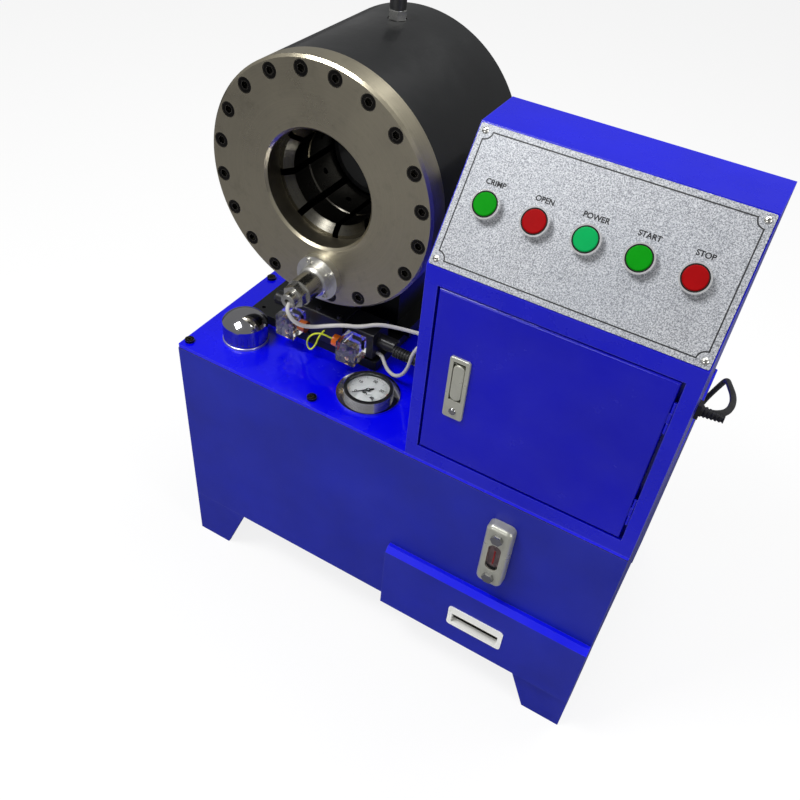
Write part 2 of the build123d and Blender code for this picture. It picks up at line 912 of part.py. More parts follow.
with BuildPart() as control_cabinet:
    with BuildSketch(side_plane(cabinet_left)):
        with BuildLine():
            Polyline(*cabinet_outline(), close=True)
        make_face()
    extrude(amount=cabinet_width)
    with BuildSketch(side_plane(cabinet_left + cabinet_sheet)):
        with BuildLine():
            Polyline(*cabinet_outline(), close=True)
        make_face()
        offset(amount=-cabinet_sheet, kind=Kind.INTERSECTION, mode=Mode.REPLACE)
    extrude(amount=cabinet_width - 2 * cabinet_sheet, mode=Mode.SUBTRACT)
    slab(
        doorway[0] - cabinet_sheet, doorway[1] + cabinet_sheet,
        front + cabinet_sheet, front + frame_depth + cabinet_sheet,
        doorway[2] - cabinet_sheet, doorway[3] + cabinet_sheet,
    )
    slab(
        doorway[0], doorway[1], front, front + frame_depth,
        doorway[2], doorway[3], mode=Mode.SUBTRACT,
    )
    slab(
        doorway[0] + door_lip, doorway[1] - door_lip, front, cabinet_back - cabinet_sheet,
        doorway[2] + door_lip, doorway[3] - door_lip, mode=Mode.SUBTRACT,
    )
    for z in hinge_heights:
        for z_knuckle in (z, z + 2 * knuckle):
            with BuildSketch(Plane.XY.offset(z_knuckle)):
                with Locations((hinge_x, hinge_y)):
                    Circle(hinge_barrel)
                with Locations((hinge_x + door_gap / 4, hinge_y)):
                    Rectangle(door_gap / 2, hinge_pin)
            extrude(amount=knuckle)
        with BuildSketch(Plane.XY.offset(z)):
            with Locations((hinge_x, hinge_y)):
                Circle(hinge_pin)
        extrude(amount=hinge_length)
    with BuildSketch(slope_plane()):
        with Locations(*button_places()):
            Circle(button_barrel + seat_gap)
    extrude(amount=-cabinet_sheet, mode=Mode.SUBTRACT)
    with BuildSketch(side_plane(right)):
        with Locations((front + cord_exit_y, cord_exit_z)):
            Circle(gland_thread)
    extrude(amount=-cabinet_sheet, mode=Mode.SUBTRACT)
    with BuildSketch(side_plane(cabinet_left)):
        with Locations((front + conduit_y, lid_top + conduit_z)):
            Circle(conduit_radius)
        with Locations(*[(front + y, z) for y, z in cable_entries]):
            Circle(entry_thread)
    extrude(amount=cabinet_sheet, mode=Mode.SUBTRACT)
control_cabinet.part.label = "control_cabinet"
export_step(control_cabinet.part, "parts/control_cabinet.step")

# Cabinet door: a shallow folded pan with rounded front edges
with BuildPart() as cabinet_door:
    slab(door_left, door_right, front, front + door_fold, door_bottom, door_top)
    fillet(cabinet_door.faces().sort_by(Axis.Y)[0].edges(), radius=door_bend)
    slab(
        door_left + cabinet_sheet, door_right - cabinet_sheet,
        front + cabinet_sheet, front + door_fold,
        door_bottom + cabinet_sheet, door_top - cabinet_sheet, mode=Mode.SUBTRACT,
    )
    with BuildSketch(front_plane(front)):
        with Locations((door_left + lock_inset, lock_center_z)):
            RectangleRounded(lock_body_width, lock_body_height, radius=lock_plate)
    extrude(amount=-door_fold, mode=Mode.SUBTRACT)
    for z in hinge_heights:
        with BuildSketch(Plane.XY.offset(z + knuckle + seat_gap)):
            with Locations((hinge_x, hinge_y)):
                Circle(hinge_barrel)
            with Locations((hinge_x - door_gap / 2, hinge_y)):
                Rectangle(door_gap, hinge_pin)
            with Locations((hinge_x, hinge_y)):
                Circle(hinge_pin + running_gap, mode=Mode.SUBTRACT)
        extrude(amount=knuckle - 2 * seat_gap)
cabinet_door.part.label = "cabinet_door"
export_step(cabinet_door.part, "parts/cabinet_door.step")

# Door lock: a plate with a pocketed body, a pull handle, a button and a tongue
lock_x = door_left + lock_inset
handle_top = lock_center_z + lock_height / 2 - lock_plate - lock_handle_top
handle_bottom = handle_top - lock_handle_length
pivot_z = handle_top - lock_handle_thick / 2
pivot_y = front + lock_handle_thick / 2
with BuildPart() as door_lock:
    with BuildSketch(front_plane(front)):
        with Locations((lock_x, lock_center_z)):
            RectangleRounded(lock_width, lock_height, radius=lock_plate)
    extrude(amount=lock_plate)
    fillet(door_lock.faces().sort_by(Axis.Y)[0].edges(), radius=lock_plate / 3)
    with BuildSketch(front_plane(front)):
        with Locations((lock_x, lock_center_z)):
            RectangleRounded(
                lock_body_width - 2 * seat_gap, lock_body_height - 2 * seat_gap, radius=lock_plate
            )
    extrude(amount=-lock_body_depth)
    slab(
        lock_x - lock_handle_width / 2 - lock_play, lock_x + lock_handle_width / 2 + lock_play,
        front - lock_plate, front + lock_handle_thick + lock_floor_room,
        handle_bottom - lock_play, handle_top + lock_handle_thick / 2 + lock_top_room,
        mode=Mode.SUBTRACT,
    )
    with BuildSketch(side_plane(lock_x)):
        with Locations((pivot_y, pivot_z)):
            Circle(lock_pivot)
    extrude(amount=lock_handle_width / 2 + lock_play, both=True)
    with BuildSketch(front_plane(front - lock_plate)):
        with Locations((lock_x, lock_button_z)):
            Circle(lock_button + running_gap)
    extrude(amount=-lock_button_bore, mode=Mode.SUBTRACT)
door_lock.part.label = "door_lock"
export_step(door_lock.part, "parts/door_lock.step")

# Lock handle, hinged at its upper end
with BuildPart() as lock_handle:
    with BuildSketch(front_plane(front + lock_handle_thick)):
        with Locations((lock_x, (handle_top + handle_bottom) / 2)):
            SlotOverall(lock_handle_length, lock_handle_width, rotation=90)
    extrude(amount=lock_handle_thick + lock_plate)
    fillet(lock_handle.faces().sort_by(Axis.Y)[0].edges(), radius=lock_plate / 2)
    with BuildSketch(side_plane(lock_x)):
        with Locations((pivot_y, pivot_z)):
            Circle(lock_pivot + running_gap)
    extrude(amount=lock_handle_width, both=True, mode=Mode.SUBTRACT)
lock_handle.part.label = "lock_handle"
export_step(lock_handle.part, "parts/lock_handle.step")

# Lock button
with BuildPart() as lock_button_part:
    with BuildSketch(front_plane(front - lock_plate + lock_button_bore - lock_button_travel - seat_gap)):
        with Locations((lock_x, lock_button_z)):
            Circle(lock_button)
    extrude(amount=lock_button_bore - lock_button_travel - seat_gap + lock_button_proud)
    fillet(lock_button_part.faces().sort_by(Axis.Y)[0].edges(), radius=lock_button_proud * 0.8)
lock_button_part.part.label = "lock_button"
export_step(lock_button_part.part, "parts/lock_button.step")

# Lock tongue, carried on the back of the lock's body
tongue_y = front + lock_body_depth + seat_gap
with BuildPart() as lock_tongue:
    slab(
        doorway[0] + door_lip + tongue_clear, lock_x + tongue_width / 2,
        tongue_y, tongue_y + tongue_plate,
        lock_center_z - tongue_width / 2, lock_center_z + tongue_width / 2,
    )
    fillet(lock_tongue.edges().filter_by(Axis.Y), radius=tongue_plate / 2)
lock_tongue.part.label = "lock_tongue"
export_step(lock_tongue.part, "parts/lock_tongue.step")

# Control panel: an aluminium plate on the slope
panel_x = cabinet_left + panel_margin + panel_width / 2
with BuildPart() as control_panel:
    with BuildSketch(slope_plane()):
        with Locations((panel_x, slope_length / 2)):
            RectangleRounded(panel_width, panel_length, radius=panel_corner)
        with Locations(*button_places()):
            Circle(button_barrel + seat_gap, mode=Mode.SUBTRACT)
    extrude(amount=panel_plate)
control_panel.part.label = "control_panel"
export_step(control_panel.part, "parts/control_panel.step")

# Button bodies: a ring over the panel, a barrel through it, a nut and a contact block
with BuildPart() as button_bodies:
    for x, up in button_places():
        with BuildSketch(slope_plane(panel_plate)):
            with Locations((x, up)):
                Circle(button_ring)
        extrude(amount=button_height)
        with BuildSketch(slope_plane(panel_plate)):
            with Locations((x, up)):
                Circle(button_barrel)
        extrude(amount=-button_barrel_length)
        with BuildSketch(slope_plane(-cabinet_sheet)):
            with Locations((x, up)):
                RegularPolygon(button_nut, 6)
        extrude(amount=-button_nut_height)
        with BuildSketch(slope_plane(panel_plate - button_barrel_length)):
            with Locations((x, up)):
                Rectangle(contact_width, contact_width)
        extrude(amount=-contact_depth)
        with BuildSketch(slope_plane(panel_plate + button_floor)):
            with Locations((x, up)):
                Circle(button_cap + seat_gap)
        extrude(amount=button_height, mode=Mode.SUBTRACT)
        with BuildSketch(slope_plane(panel_plate + button_floor)):
            with Locations((x, up)):
                Circle(button_stem + running_gap)
        extrude(amount=-button_stem_length, mode=Mode.SUBTRACT)
button_bodies.part.label = "button_bodies"
export_step(button_bodies.part, "parts/button_bodies.step")


def button_part(place, lift, stem):
    """A round cap with a crowned face on a stem that runs in the button's barrel."""
    with BuildPart() as button:
        with BuildSketch(slope_plane(panel_plate + button_floor + lift)):
            with Locations(place):
                Circle(button_cap)
        extrude(amount=button_height - button_floor + button_proud - lift)
        fillet(
            button.edges().filter_by(GeomType.CIRCLE).sort_by(Axis.Z)[-1:],
            radius=button_proud,
        )
        with BuildSketch(slope_plane(panel_plate + button_floor + lift)):
            with Locations(place):
                Circle(button_stem)
        extrude(amount=-stem)
    return button


# Buttons and the lamp, from left to right; the lamp is the one in the middle
places = button_places()
stem_length = button_stem_length - seat_gap
crimp_button = button_part(places[0], button_travel, stem_length)
crimp_button.part.label = "crimp_button"
export_step(crimp_button.part, "parts/crimp_button.step")
open_button = button_part(places[1], button_travel, stem_length)
open_button.part.label = "open_button"
export_step(open_button.part, "parts/open_button.step")
power_lamp = button_part(places[2], 0.0, stem_length)
power_lamp.part.label = "power_lamp"
export_step(power_lamp.part, "parts/power_lamp.step")
start_button = button_part(places[3], button_travel, stem_length)
start_button.part.label = "start_button"
export_step(start_button.part, "parts/start_button.step")
stop_button = button_part(places[4], button_travel, stem_length)
stop_button.part.label = "stop_button"
export_step(stop_button.part, "parts/stop_button.step")

# Electrical plate inside the cabinet, with a rail, a contactor, a relay and terminals
board_y = cabinet_back - cabinet_sheet - board_stand
board_mid = cabinet_left + cabinet_width / 2
with BuildPart() as electrical_plate:
    slab(
        board_mid - board_width / 2, board_mid + board_width / 2,
        board_y - cabinet_sheet, board_y, board_bottom, board_bottom + board_height,
    )
    with BuildSketch(front_plane(board_y)):
        with Locations((board_mid, board_bottom + board_height / 2)):
            with GridLocations(
                board_width - 2 * board_post_inset, board_height - 2 * board_post_inset, 2, 2,
            ):
                Circle(board_stand / 2)
    extrude(amount=-board_stand)
    rail_top = board_bottom + board_height - board_rail_drop
    for rail_z in (rail_top, board_bottom + board_rail_rise):
        slab(
            board_mid - board_width / 2 + board_post_inset,
            board_mid + board_width / 2 - board_post_inset,
            board_y - cabinet_sheet - rail_stand, board_y - cabinet_sheet,
            rail_z - rail_width / 2, rail_z + rail_width / 2,
        )
    for x, width, depth, height, rail_z in board_devices:
        slab(
            board_mid + x - width / 2, board_mid + x + width / 2,
            board_y - cabinet_sheet - rail_stand - depth, board_y - cabinet_sheet - rail_stand,
            rail_z + rail_top - height / 2, rail_z + rail_top + height / 2,
        )
electrical_plate.part.label = "electrical_plate"
export_step(electrical_plate.part, "parts/electrical_plate.step")

# Crimping head, front flange: a bored ring with counterbored bolt holes
with BuildPart() as head_flange:
    with BuildSketch(head_plane(flange_back)):
        Circle(head_radius)
    extrude(amount=flange)
    chamfer(head_flange.faces().sort_by(Axis.Y)[0].edges(), length=flange_chamfer)
    with BuildSketch(head_plane(flange_back)):
        Circle(flange_bore)
    extrude(amount=flange, mode=Mode.SUBTRACT)
    chamfer(
        head_flange.faces().sort_by(Axis.Y)[0].edges().sort_by(SortBy.LENGTH)[0],
        length=flange_chamfer,
    )
    with BuildSketch(head_plane(flange_back)):
        with PolarLocations(bolt_circle, bolt_count, start_angle=bolt_first):
            Circle(bolt_shank + seat_gap)
    extrude(amount=flange, mode=Mode.SUBTRACT)
    with BuildSketch(head_plane(head_front)):
        with PolarLocations(bolt_circle, bolt_count, start_angle=bolt_first):
            Circle(bolt_head + bolt_head_room)
    extrude(amount=-bolt_head_depth, mode=Mode.SUBTRACT)
    with BuildSketch(head_plane(head_front)):
        with Locations((scale_shift, -scale_drop)):
            Circle(scale_probe + seat_gap)
            with PolarLocations(scale_screw_circle, scale_screws, start_angle=scale_screw_first):
                Circle(scale_screw)
    extrude(amount=-scale_screw_reach, mode=Mode.SUBTRACT)
head_flange.part.label = "head_flange"
export_step(head_flange.part, "parts/head_flange.step")

# Flange bolts: socket cap screws sunk in their counterbores
bolt_seat = head_front + bolt_head_depth
with BuildPart() as flange_bolts:
    with BuildSketch(head_plane(bolt_seat)):
        with PolarLocations(bolt_circle, bolt_count, start_angle=bolt_first):
            Circle(bolt_head)
    extrude(amount=bolt_head_height)
    with BuildSketch(head_plane(bolt_seat - bolt_head_height)):
        with PolarLocations(bolt_circle, bolt_count, start_angle=bolt_first):
            RegularPolygon(bolt_socket, 6)
    extrude(amount=-bolt_socket, mode=Mode.SUBTRACT)
    with BuildSketch(head_plane(bolt_seat)):
        with PolarLocations(bolt_circle, bolt_count, start_angle=bolt_first):
            Circle(bolt_shank)
    extrude(amount=-bolt_length)
flange_bolts.part.label = "flange_bolts"
export_step(flange_bolts.part, "parts/flange_bolts.step")

# Crimping head, cylinder: a deep pot whose bottom carries the inner sleeve
cylinder_floor = head_back - cylinder_bottom
piston_back = cylinder_floor - chamber
piston_front = piston_back - piston_base - wedge_length
port_y = head_front + port_depth
with BuildPart() as head_cylinder:
    with BuildSketch(head_plane(head_back)):
        Circle(head_radius)
    extrude(amount=head_length - flange)
    chamfer(head_cylinder.faces().sort_by(Axis.Y)[-1].edges(), length=flange_chamfer)
    with BuildSketch(head_plane(cylinder_floor)):
        Circle(cylinder_bore)
        Circle(sleeve_outer, mode=Mode.SUBTRACT)
    extrude(amount=head_length - flange, mode=Mode.SUBTRACT)
    with BuildSketch(head_plane(head_back)):
        Circle(sleeve_inner)
    extrude(amount=head_length, mode=Mode.SUBTRACT)
    with BuildSketch(head_plane(cylinder_floor - sleeve_length)):
        Circle(cylinder_bore)
    extrude(amount=head_length, mode=Mode.SUBTRACT)
    with BuildSketch(head_plane(flange_back)):
        with PolarLocations(bolt_circle, bolt_count, start_angle=bolt_first):
            Circle(bolt_shank + seat_gap)
    extrude(amount=bolt_head_depth - flange - bolt_length, mode=Mode.SUBTRACT)
    with BuildSketch(Plane.XY.offset(head_height + head_radius)):
        with Locations((head_x, port_y)):
            Circle(port_flat)
    extrude(amount=-port_sink, mode=Mode.SUBTRACT)
    with BuildSketch(Plane.XY.offset(head_height + head_radius)):
        with Locations((head_x, port_y)):
            Circle(port_thread)
    extrude(amount=-port_sink - port_reach, mode=Mode.SUBTRACT)
    with BuildSketch(head_plane(port_y)):
        with Locations((0, cylinder_bore + oil_way_depth)):
            Circle(oil_way)
    extrude(amount=port_y - cylinder_floor + chamber / 2, mode=Mode.SUBTRACT)
    with BuildSketch(Plane.XY.offset(head_height)):
        with Locations((head_x, cylinder_floor - chamber / 2)):
            Circle(oil_way)
    extrude(amount=cylinder_bore + oil_way_depth, mode=Mode.SUBTRACT)
    with BuildSketch(Plane.XY.offset(head_height - head_radius)):
        with Locations((head_x, cylinder_floor - chamber / 2)):
            Circle(oil_way)
    extrude(amount=head_radius - cylinder_bore, mode=Mode.SUBTRACT)
head_cylinder.part.label = "head_cylinder"
export_step(head_cylinder.part, "parts/head_cylinder.step")

# Wedge piston: a plug with an eight-sided cavity and a key on each wedge face
cavity_front = die_outer - wedge_ratio * (piston_front - flange_back - seat_gap) + seat_gap
cavity_back = cavity_front - wedge_ratio * wedge_length
die_plane_origin = (head_x, 0, head_height)


def die_plane(number):
    """A plane along one die: local X runs out from the head's axis, local Y to the back."""
    angle = radians(die_first_angle + number * 360 / die_count)
    return Plane(
        origin=die_plane_origin,
        x_dir=(cos(angle), 0, sin(angle)),
        z_dir=(-sin(angle), 0, cos(angle)),
    )


with BuildPart() as piston:
    with BuildSketch(head_plane(piston_back)):
        Circle(cylinder_bore - running_gap)
    extrude(amount=piston_base + wedge_length)
    with BuildSketch(head_plane(piston_back)):
        Circle(sleeve_outer + running_gap)
    extrude(amount=piston_base + wedge_length, mode=Mode.SUBTRACT)
    with BuildSketch(head_plane(piston_front)):
        RegularPolygon(
            cavity_front, die_count, major_radius=False, rotation=die_first_angle - 180 / die_count
        )
    with BuildSketch(head_plane(piston_front + wedge_length)):
        RegularPolygon(
            cavity_back, die_count, major_radius=False, rotation=die_first_angle - 180 / die_count
        )
    loft(mode=Mode.SUBTRACT)
    for number in range(die_count):
        with BuildSketch(die_plane(number)):
            with BuildLine():
                Polyline(
                    (cavity_front + 1, piston_front),
                    (cavity_back + 1, piston_front + wedge_length),
                    (cavity_back - key_neck_height, piston_front + wedge_length),
                    (cavity_front - key_neck_height, piston_front),
                    close=True,
                )
            make_face()
        extrude(amount=key_neck / 2, both=True)
        with BuildSketch(die_plane(number)):
            with BuildLine():
                Polyline(
                    (cavity_front - key_neck_height, piston_front),
                    (cavity_back - key_neck_height, piston_front + wedge_length),
                    (cavity_back - key_neck_height - key_head_height, piston_front + wedge_length),
                    (cavity_front - key_neck_height - key_head_height, piston_front),
                    close=True,
                )
            make_face()
        extrude(amount=key_head / 2, both=True)
    for place in seal_places:
        with BuildSketch(head_plane(piston_back - place)):
            Circle(cylinder_bore)
            Circle(cylinder_bore - seal_depth, mode=Mode.SUBTRACT)
        extrude(amount=seal_width, mode=Mode.SUBTRACT)
    with BuildSketch(head_plane(piston_back - seal_places[0])):
        Circle(sleeve_outer + seal_depth)
        Circle(sleeve_outer, mode=Mode.SUBTRACT)
    extrude(amount=seal_width, mode=Mode.SUBTRACT)
piston.part.label = "piston"
export_step(piston.part, "parts/piston.step")

# Piston seals: two rings to the bore and one to the inner sleeve
with BuildPart() as piston_seals:
    for place in seal_places:
        with BuildSketch(head_plane(piston_back - place)):
            Circle(cylinder_bore - running_gap)
            Circle(cylinder_bore - seal_depth, mode=Mode.SUBTRACT)
        extrude(amount=seal_width)
    with BuildSketch(head_plane(piston_back - seal_places[0])):
        Circle(sleeve_outer + seal_depth)
        Circle(sleeve_outer + running_gap, mode=Mode.SUBTRACT)
    extrude(amount=seal_width)
piston_seals.part.label = "piston_seals"
export_step(piston_seals.part, "parts/piston_seals.step")

# Master dies: eight slanted sectors with a bell mouth, a pin bore and a slot for the key
die_front = flange_back + seat_gap
die_back = die_front + die_length
die_outer_back = die_outer - wedge_ratio * die_length
slot_roof = key_neck_height - 2 * seat_gap
slot_floor = key_neck_height + key_head_height
half_sector = radians(180 / die_count)
groove_front = die_front + die_groove_at
sector_apex = die_gap / 2 / sin(half_sector)


def polar(radius, angle):
    """A point on the head's front plane at an angle given in radians."""
    return (radius * cos(angle), radius * sin(angle))


def make_die(number):
    """One master die in its open place."""
    angle = radians(die_first_angle + number * 360 / die_count)
    apex = polar(sector_apex, angle)
    side_a = polar(head_radius, angle - half_sector)
    side_b = polar(head_radius, angle + half_sector)
    with BuildPart() as die:
        with BuildSketch(die_plane(number)):
            with BuildLine():
                Polyline(
                    (sector_apex, die_front),
                    (die_outer, die_front),
                    (die_outer_back, die_back),
                    (sector_apex, die_back),
                    close=True,
                )
            make_face()
        extrude(amount=die_outer, both=True)
        with BuildSketch(head_plane(die_front)):
            with BuildLine():
                Polyline(
                    apex,
                    (apex[0] + side_a[0], apex[1] + side_a[1]),
                    (apex[0] + side_b[0], apex[1] + side_b[1]),
                    close=True,
                )
            make_face()
        extrude(amount=-die_length, mode=Mode.INTERSECT)
        with BuildSketch(die_plane(number)):
            with BuildLine():
                Polyline(
                    (0, die_front),
                    (die_mouth, die_front),
                    (die_bore, die_front + die_mouth_depth),
                    (die_bore, groove_front),
                    (die_bore + die_groove, groove_front + die_groove),
                    (die_bore, groove_front + 2 * die_groove),
                    (die_bore, die_back),
                    (0, die_back),
                    close=True,
                )
            make_face()
        revolve(axis=head_axis, mode=Mode.SUBTRACT)
        with BuildSketch(die_plane(number)):
            with BuildLine():
                Polyline(
                    (die_outer + 1, die_front),
                    (die_outer_back + 1, die_back),
                    (die_outer_back - slot_floor, die_back),
                    (die_outer - slot_floor, die_front),
                    close=True,
                )
            make_face()
        extrude(amount=key_neck / 2 + seat_gap, both=True, mode=Mode.SUBTRACT)
        with BuildSketch(die_plane(number)):
            with BuildLine():
                Polyline(
                    (die_outer - slot_roof, die_front),
                    (die_outer_back - slot_roof, die_back),
                    (die_outer_back - slot_floor, die_back),
                    (die_outer - slot_floor, die_front),
                    close=True,
                )
            make_face()
        extrude(amount=key_head / 2 + seat_gap, both=True, mode=Mode.SUBTRACT)
        pin_foot = polar(die_bore - die_groove, angle)
        pin_plane = Plane(
            origin=(head_x + pin_foot[0], die_front + die_pin_at, head_height + pin_foot[1]),
            x_dir=(0, 1, 0),
            z_dir=(cos(angle), 0, sin(angle)),
        )
        with BuildSketch(pin_plane):
            Circle(die_pin)
        extrude(amount=die_pin_depth + die_groove, mode=Mode.SUBTRACT)
    return die


die_1 = make_die(0)
die_1.part.label = "die_1"
export_step(die_1.part, "parts/die_1.step")
die_2 = make_die(1)
die_2.part.label = "die_2"
export_step(die_2.part, "parts/die_2.step")
die_3 = make_die(2)
die_3.part.label = "die_3"
export_step(die_3.part, "parts/die_3.step")
die_4 = make_die(3)
die_4.part.label = "die_4"
export_step(die_4.part, "parts/die_4.step")
die_5 = make_die(4)
die_5.part.label = "die_5"
export_step(die_5.part, "parts/die_5.step")
die_6 = make_die(5)
die_6.part.label = "die_6"
export_step(die_6.part, "parts/die_6.step")
die_7 = make_die(6)
die_7.part.label = "die_7"
export_step(die_7.part, "parts/die_7.step")
die_8 = make_die(7)
die_8.part.label = "die_8"
export_step(die_8.part, "parts/die_8.step")

# Head base: a bolted plate with a saddle under the cylinder
base_x = (left + base_left, left + base_right)
base_top = lid_top + base_plate
saddle_y = (front + saddle_front, front + saddle_back)
with BuildPart() as head_base:
    slab(*base_x, front + base_front, front + base_back, lid_top, base_top)
    fillet(head_base.edges().filter_by(Axis.Z), radius=base_corner)
    slab(
        head_x - saddle_width / 2, head_x + saddle_width / 2, *saddle_y,
        base_top, head_height - head_radius / 2,
    )
    slab(
        head_x - saddle_foot / 2, head_x + saddle_foot / 2, *saddle_y,
        base_top, base_top + base_plate,
    )
    with BuildSketch(head_plane(saddle_y[0])):
        Circle(head_radius + running_gap)
    extrude(amount=-head_length, mode=Mode.SUBTRACT)
    with BuildSketch(Plane.XY.offset(base_top)):
        with Locations(*[(left + x, front + y) for x, y in base_screw_places]):
            Circle(base_screw_head + seat_gap)
    extrude(amount=-base_screw_sink, mode=Mode.SUBTRACT)
    with BuildSketch(Plane.XY.offset(base_top - base_screw_sink)):
        with Locations(*[(left + x, front + y) for x, y in base_screw_places]):
            Circle(base_screw_head)
            RegularPolygon(base_screw_head / 2, 6, mode=Mode.SUBTRACT)
    extrude(amount=base_screw_sink)
    with BuildSketch(Plane.XY.offset(lid_top)):
        with Locations((head_x, cylinder_floor - chamber / 2)):
            Circle(oil_way)
    extrude(amount=head_height, mode=Mode.SUBTRACT)
head_base.part.label = "head_base"
export_step(head_base.part, "parts/head_base.step")

# Solenoid valve on the base plate: a body, two square coils and two core tubes
core_y = front + valve_y
core_z = base_top + valve_size / 2
body_x = (head_x + valve_shift - valve_length / 2, head_x + valve_shift + valve_length / 2)
with BuildPart() as solenoid_valve:
    slab(*body_x, core_y - valve_size / 2, core_y + valve_size / 2, base_top, base_top + valve_size)
    slab(
        body_x[0] - coil_length, body_x[1] + coil_length,
        core_y - coil_size / 2, core_y + coil_size / 2,
        core_z - coil_size / 2, core_z + coil_size / 2,
    )
    fillet(solenoid_valve.edges().filter_by(Axis.X), radius=coil_corner)
    with BuildSketch(side_plane(body_x[0] - coil_length)):
        with Locations((core_y, core_z)):
            Circle(core_radius)
    extrude(amount=-core_reach)
    with BuildSketch(side_plane(body_x[1] + coil_length)):
        with Locations((core_y, core_z)):
            Circle(core_radius)
    extrude(amount=core_reach)
    chamfer(
        solenoid_valve.faces().sort_by(Axis.X)[0].edges()
        + solenoid_valve.faces().sort_by(Axis.X)[-1].edges(),
        length=core_radius / 5,
    )
    with BuildSketch(Plane.XY.offset(base_top + valve_size)):
        with Locations((head_x + valve_shift, core_y)):
            with GridLocations(valve_screw_pitch, valve_screw_pitch, 2, 2):
                Circle(valve_screw)
                RegularPolygon(valve_screw / 2, 6, mode=Mode.SUBTRACT)
    extrude(amount=valve_screw)
    for x, side in ((body_x[0] - coil_length, 1), (body_x[1] + coil_length, -1)):
        slab(
            x + side * plug_inset - plug_size / 4, x + side * plug_inset + plug_size / 4,
            core_y - coil_size / 2 - plug_seat, core_y - coil_size / 2,
            core_z - plug_size / 4, core_z + plug_size / 4,
        )
solenoid_valve.part.label = "solenoid_valve"
export_step(solenoid_valve.part, "parts/solenoid_valve.step")

# Plugs on the coils: clear boxes, each with a gland for its cable
plug_back = core_y - coil_size / 2 - plug_seat
plug_front = plug_back - plug_reach
with BuildPart() as solenoid_plugs:
    for x, side in ((left + plug_left, 1), (left + plug_right, -1)):
        slab(
            x - plug_size / 2, x + plug_size / 2, plug_front, plug_back,
            core_z - plug_height / 2, core_z + plug_height / 2,
        )
    fillet(solenoid_plugs.edges().filter_by(Axis.Y), radius=coil_corner)
    for x, side in ((left + plug_left, 1), (left + plug_right, -1)):
        with BuildSketch(side_plane(x + side * plug_size / 2)):
            with Locations((plug_front + plug_reach / 2, core_z + plug_gland_up)):
                Circle(plug_gland)
        extrude(amount=side * plug_gland_length)
        with BuildSketch(side_plane(x + side * (plug_size / 2 + plug_gland_length))):
            with Locations((plug_front + plug_reach / 2, core_z + plug_gland_up)):
                Circle(wire_diameter / 2)
        extrude(amount=-side * plug_gland_length, mode=Mode.SUBTRACT)
solenoid_plugs.part.label = "solenoid_plugs"
export_step(solenoid_plugs.part, "parts/solenoid_plugs.step")

# Crimp size scale: a fixed flange with a neck and a probe tube
scale_x = head_x + scale_shift
scale_z = head_height - scale_drop
neck_front = head_front - scale_plate - scale_neck_length
knob_front = neck_front - seat_gap - knob_sleeve_length - knob_hex_length - knob_nose_length
with BuildPart() as scale_base:
    with BuildSketch(front_plane(head_front)):
        with Locations((scale_x, scale_z)):
            Circle(scale_flange)
    extrude(amount=scale_plate)
    with BuildSketch(front_plane(head_front - scale_plate)):
        with Locations((scale_x, scale_z)):
            Circle(scale_neck)
    extrude(amount=scale_neck_length)
    chamfer(scale_base.faces().sort_by(Axis.Y)[0].edges(), length=scale_screw)
    with BuildSketch(front_plane(head_front - scale_plate)):
        with Locations((scale_x, scale_z)):
            with PolarLocations(scale_screw_circle, scale_screws, start_angle=scale_screw_first):
                Circle(scale_screw * 1.6)
                RegularPolygon(scale_screw * 0.8, 6, mode=Mode.SUBTRACT)
    extrude(amount=scale_screw)
    with BuildSketch(front_plane(head_front + scale_screw_reach)):
        with Locations((scale_x, scale_z)):
            Circle(scale_probe)
    extrude(amount=scale_screw_reach + head_front - neck_front + knob_sleeve_length)
    with BuildSketch(front_plane(knob_front)):
        with Locations((scale_x, scale_z)):
            Circle(cable_diameter / 2)
    extrude(amount=-(neck_front - knob_front), mode=Mode.SUBTRACT)
scale_base.part.label = "scale_base"
export_step(scale_base.part, "parts/scale_base.step")

# Crimp size knob: a graduated sleeve with a hexagon and a nose, turned by hand
with BuildPart() as scale_knob:
    with BuildSketch(front_plane(neck_front - seat_gap)):
        with Locations((scale_x, scale_z)):
            Circle(knob_sleeve)
    extrude(amount=knob_sleeve_length)
    with BuildSketch(front_plane(neck_front - seat_gap - knob_sleeve_length)):
        with Locations((scale_x, scale_z)):
            RegularPolygon(knob_hex, 6, rotation=30)
    extrude(amount=knob_hex_length)
    with BuildSketch(front_plane(knob_front + knob_nose_length)):
        with Locations((scale_x, scale_z)):
            Circle(knob_nose)
    extrude(amount=knob_nose_length)
    chamfer(scale_knob.faces().sort_by(Axis.Y)[0].edges(), length=scale_screw / 2)
    with BuildSketch(front_plane(knob_front)):
        with Locations((scale_x, scale_z)):
            Circle(knob_bore)
    extrude(amount=-knob_hex_length - knob_nose_length - knob_sleeve_length, mode=Mode.SUBTRACT)
    with BuildSketch(front_plane(neck_front)):
        with Locations((scale_x, scale_z)):
            Circle(scale_probe + running_gap)
    extrude(amount=knob_sleeve_length + seat_gap, mode=Mode.SUBTRACT)
scale_knob.part.label = "scale_knob"
export_step(scale_knob.part, "parts/scale_knob.step")

